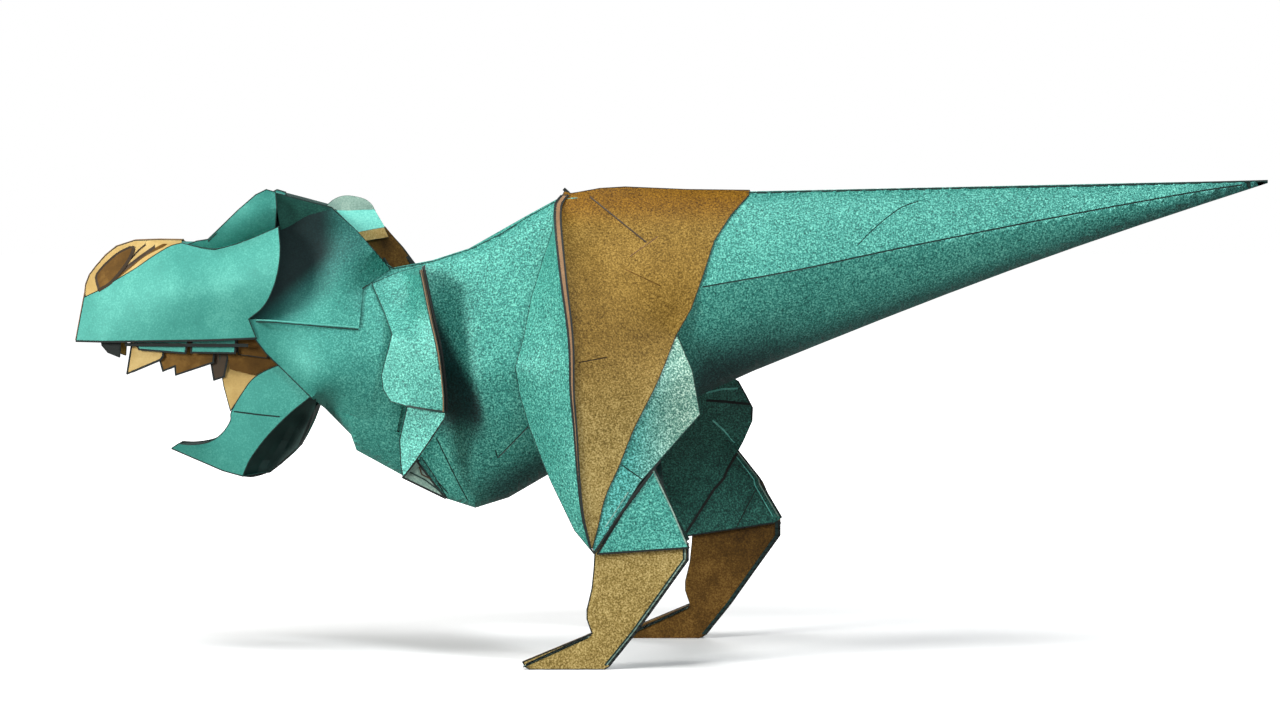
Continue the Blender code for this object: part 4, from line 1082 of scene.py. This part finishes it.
def lower_legs(piece):
    """Layers of brown paper with a near-black one between them as painted shadow, the inner face in painted shade,
    and a flat foot at the end.
    """
    shape = ((-20.2, 33.0), (-20.6, 26.0), (-21.1, 21.1), (-22.4, 15.6), (-22.4, 13.2), (-21.1, 9.4), (-39.2, 1.9),
             (-38.4, 0.6), (-37.4, 0.0), (-17.9, 0.0), (-16.6, 0.8), (-9.6, 9.6), (4.0, 28.6), (4.0, 33.0))
    layers = ((KRAFT, KRAFT, EDGE, 0.3), (DARK, DARK, DARK, 0), (KRAFT, KRAFT_IN_SHADE, EDGE, 0))
    shin = [(3.6, 32.6), (3.6, 28.8), (-9.9, 9.8), (-16.8, 1.2)]
    toe = [(-38.4, 1.2), (-21.6, 8.9)]
    for side in (NEAR, FAR):
        for layer, (face, back, rim, line) in enumerate(layers):
            outline = []
            for x, z in shape:
                inset = LEG_LAYER_INSET * layer if x > LEG_FRONT and z < LEG_KNEE_HEIGHT else 0.0
                outline.append((x - inset, LEG_OUT - LEG_LAYER_STEP * layer, max(z, SOLE_LIFT)))
            panel(piece, outline, side, leg=True, face=face, back=back, rim=rim, wave=0.0, wall=LEG_WALL,
                  line=line, ink=DARK)
        # Lines along the shin and toe: dark ones as painted shade, pale ones as painted highlight
        for out, lift, highlight_or_shade in ((LEG_OUT, 0.1, PALE), (LEG_OUT - LEG_INNER_FACE, -0.2, SHADE)):
            for line, shift, width, ink in (
                    (shin, 0.1, 0.5, DARK), (shin, -0.45, 0.3, highlight_or_shade), (shin, -0.85, 0.4, FOLD),
                    (toe, 0.15, 0.45, DARK), (toe, -0.3, 0.3, PALE), (toe, -0.6, 0.25, FOLD)):
                corners = [(x + shift, out, z if line is shin else z + shift) for x, z in line]
                trim(piece, corners, side, width, ink, lift, leg=True)


# Studio

def light(name, place, target, size, power, colour=(1.0, 1.0, 1.0)):
    """A rectangular lamp, with its place, target and size in metres."""
    lamp = bpy.data.lights.new(name, "AREA")
    lamp.shape = "RECTANGLE"
    lamp.size, lamp.size_y = size
    lamp.energy = power
    lamp.color = colour
    item = bpy.data.objects.new(name, lamp)
    item.location = Vector(place)
    item.rotation_mode = "QUATERNION"
    item.rotation_quaternion = (Vector(target) - Vector(place)).to_track_quat("-Z", "Y")
    bpy.context.scene.collection.objects.link(item)


def seen_apart(tree, met, seen, target):
    """Gives the camera one surface to see, and the light another one to meet."""
    path = tree.nodes.new("ShaderNodeLightPath")
    mix = tree.nodes.new("ShaderNodeMixShader")
    tree.links.new(path.outputs["Is Camera Ray"], mix.inputs[0])
    tree.links.new(met.outputs[0], mix.inputs[1])
    tree.links.new(seen.outputs[0], mix.inputs[2])
    tree.links.new(mix.outputs[0], target)


def background():
    """White to the camera, and a faint cool light on the paper."""
    world = bpy.data.worlds.new("studio")
    bpy.context.scene.world = world
    world.use_nodes = True
    nodes = world.node_tree.nodes
    nodes.clear()
    ambient = nodes.new("ShaderNodeBackground")
    ambient.inputs["Color"].default_value = (0.90, 0.96, 1.0, 1.0)
    ambient.inputs["Strength"].default_value = 0.07
    white = nodes.new("ShaderNodeBackground")
    white.inputs["Color"].default_value = (1.0, 1.0, 1.0, 1.0)
    white.inputs["Strength"].default_value = 1.0
    seen_apart(world.node_tree, ambient, white, nodes.new("ShaderNodeOutputWorld").inputs["Surface"])


def floor():
    """A pale floor that glows to white away from the feet, and takes the shadow near them."""
    half = FLOOR_HALF
    mesh = bpy.data.meshes.new("floor")
    mesh.from_pydata([(-half, -half, 0), (half, -half, 0), (half, half, 0), (-half, half, 0)], [], [(0, 1, 2, 3)])
    item = bpy.data.objects.new("floor", mesh)
    item.location.z = -FLOOR_DROP
    bpy.context.scene.collection.objects.link(item)
    pale = bpy.data.materials.new("pale_floor")
    pale.use_nodes = True
    nodes, links = pale.node_tree.nodes, pale.node_tree.links
    shader = nodes["Principled BSDF"]
    shader.inputs["Base Color"].default_value = (0.93, 0.93, 0.93, 1.0)
    shader.inputs["Roughness"].default_value = 0.8
    shader.inputs["Emission Color"].default_value = (1.0, 1.0, 1.0, 1.0)
    place = nodes.new("ShaderNodeTexCoord")
    length = nodes.new("ShaderNodeVectorMath")
    length.operation = "LENGTH"
    glow = nodes.new("ShaderNodeMapRange")
    for slot, value in (("From Min", GLOW_START), ("From Max", GLOW_FULL), ("To Min", GLOW_LEAST),
                        ("To Max", 1.0)):
        glow.inputs[slot].default_value = value
    links.new(place.outputs["Object"], length.inputs[0])
    links.new(length.outputs["Value"], glow.inputs["Value"])
    links.new(glow.outputs["Result"], shader.inputs["Emission Strength"])
    grey = nodes.new("ShaderNodeBsdfDiffuse")
    grey.inputs["Color"].default_value = (0.28, 0.27, 0.26, 1.0)
    seen_apart(pale.node_tree, grey, shader, nodes["Material Output"].inputs["Surface"])
    mesh.materials.append(pale)


def studio():
    background()
    floor()
    light("key", (-1.05, -0.72, 0.42), (-0.02, 0.0, 0.08), (0.42, 0.42), 18.5, (1.0, 0.99, 0.96))
    light("fill", (-0.10, -1.5, 0.20), (0.0, 0.0, 0.08), (0.7, 0.5), 1.8)
    light("top", (-0.25, -0.28, 1.1), (-0.05, 0.0, 0.08), (0.5, 0.3), 7.0)
    light("side", (0.75, -0.75, 0.95), (0.05, 0.0, 0.08), (0.22, 0.22), 8.5, (0.95, 0.98, 1.0))
    light("back", (0.30, 1.30, 0.70), (0.0, 0.0, 0.08), (0.6, 0.5), 7.0)


def camera():
    data = bpy.data.cameras.new("camera")
    data.lens = CAMERA_LENS
    data.sensor_width = CAMERA_SENSOR
    data.clip_start = 0.01
    data.clip_end = 50.0
    item = bpy.data.objects.new("camera", data)
    item.location = Vector(CAMERA_PLACE) * MM
    item.rotation_euler = (math.radians(90.0 - CAMERA_TILT), 0.0, 0.0)
    bpy.context.scene.collection.objects.link(item)
    bpy.context.scene.camera = item


PIECES = {
    "body_skin": body, "snout": snout, "brow_flaps": brows, "head_back": head_back, "far_crest": far_crest,
    "teeth": teeth, "lower_jaw": jaw, "arms": arms, "hips": hips, "inner_thighs": inner_legs,
    "lower_legs": lower_legs,
}
for name, build in PIECES.items():
    piece = Piece(name)
    build(piece)
    piece.make()
studio()
camera()
bpy.context.scene.view_settings.view_transform = "Standard"
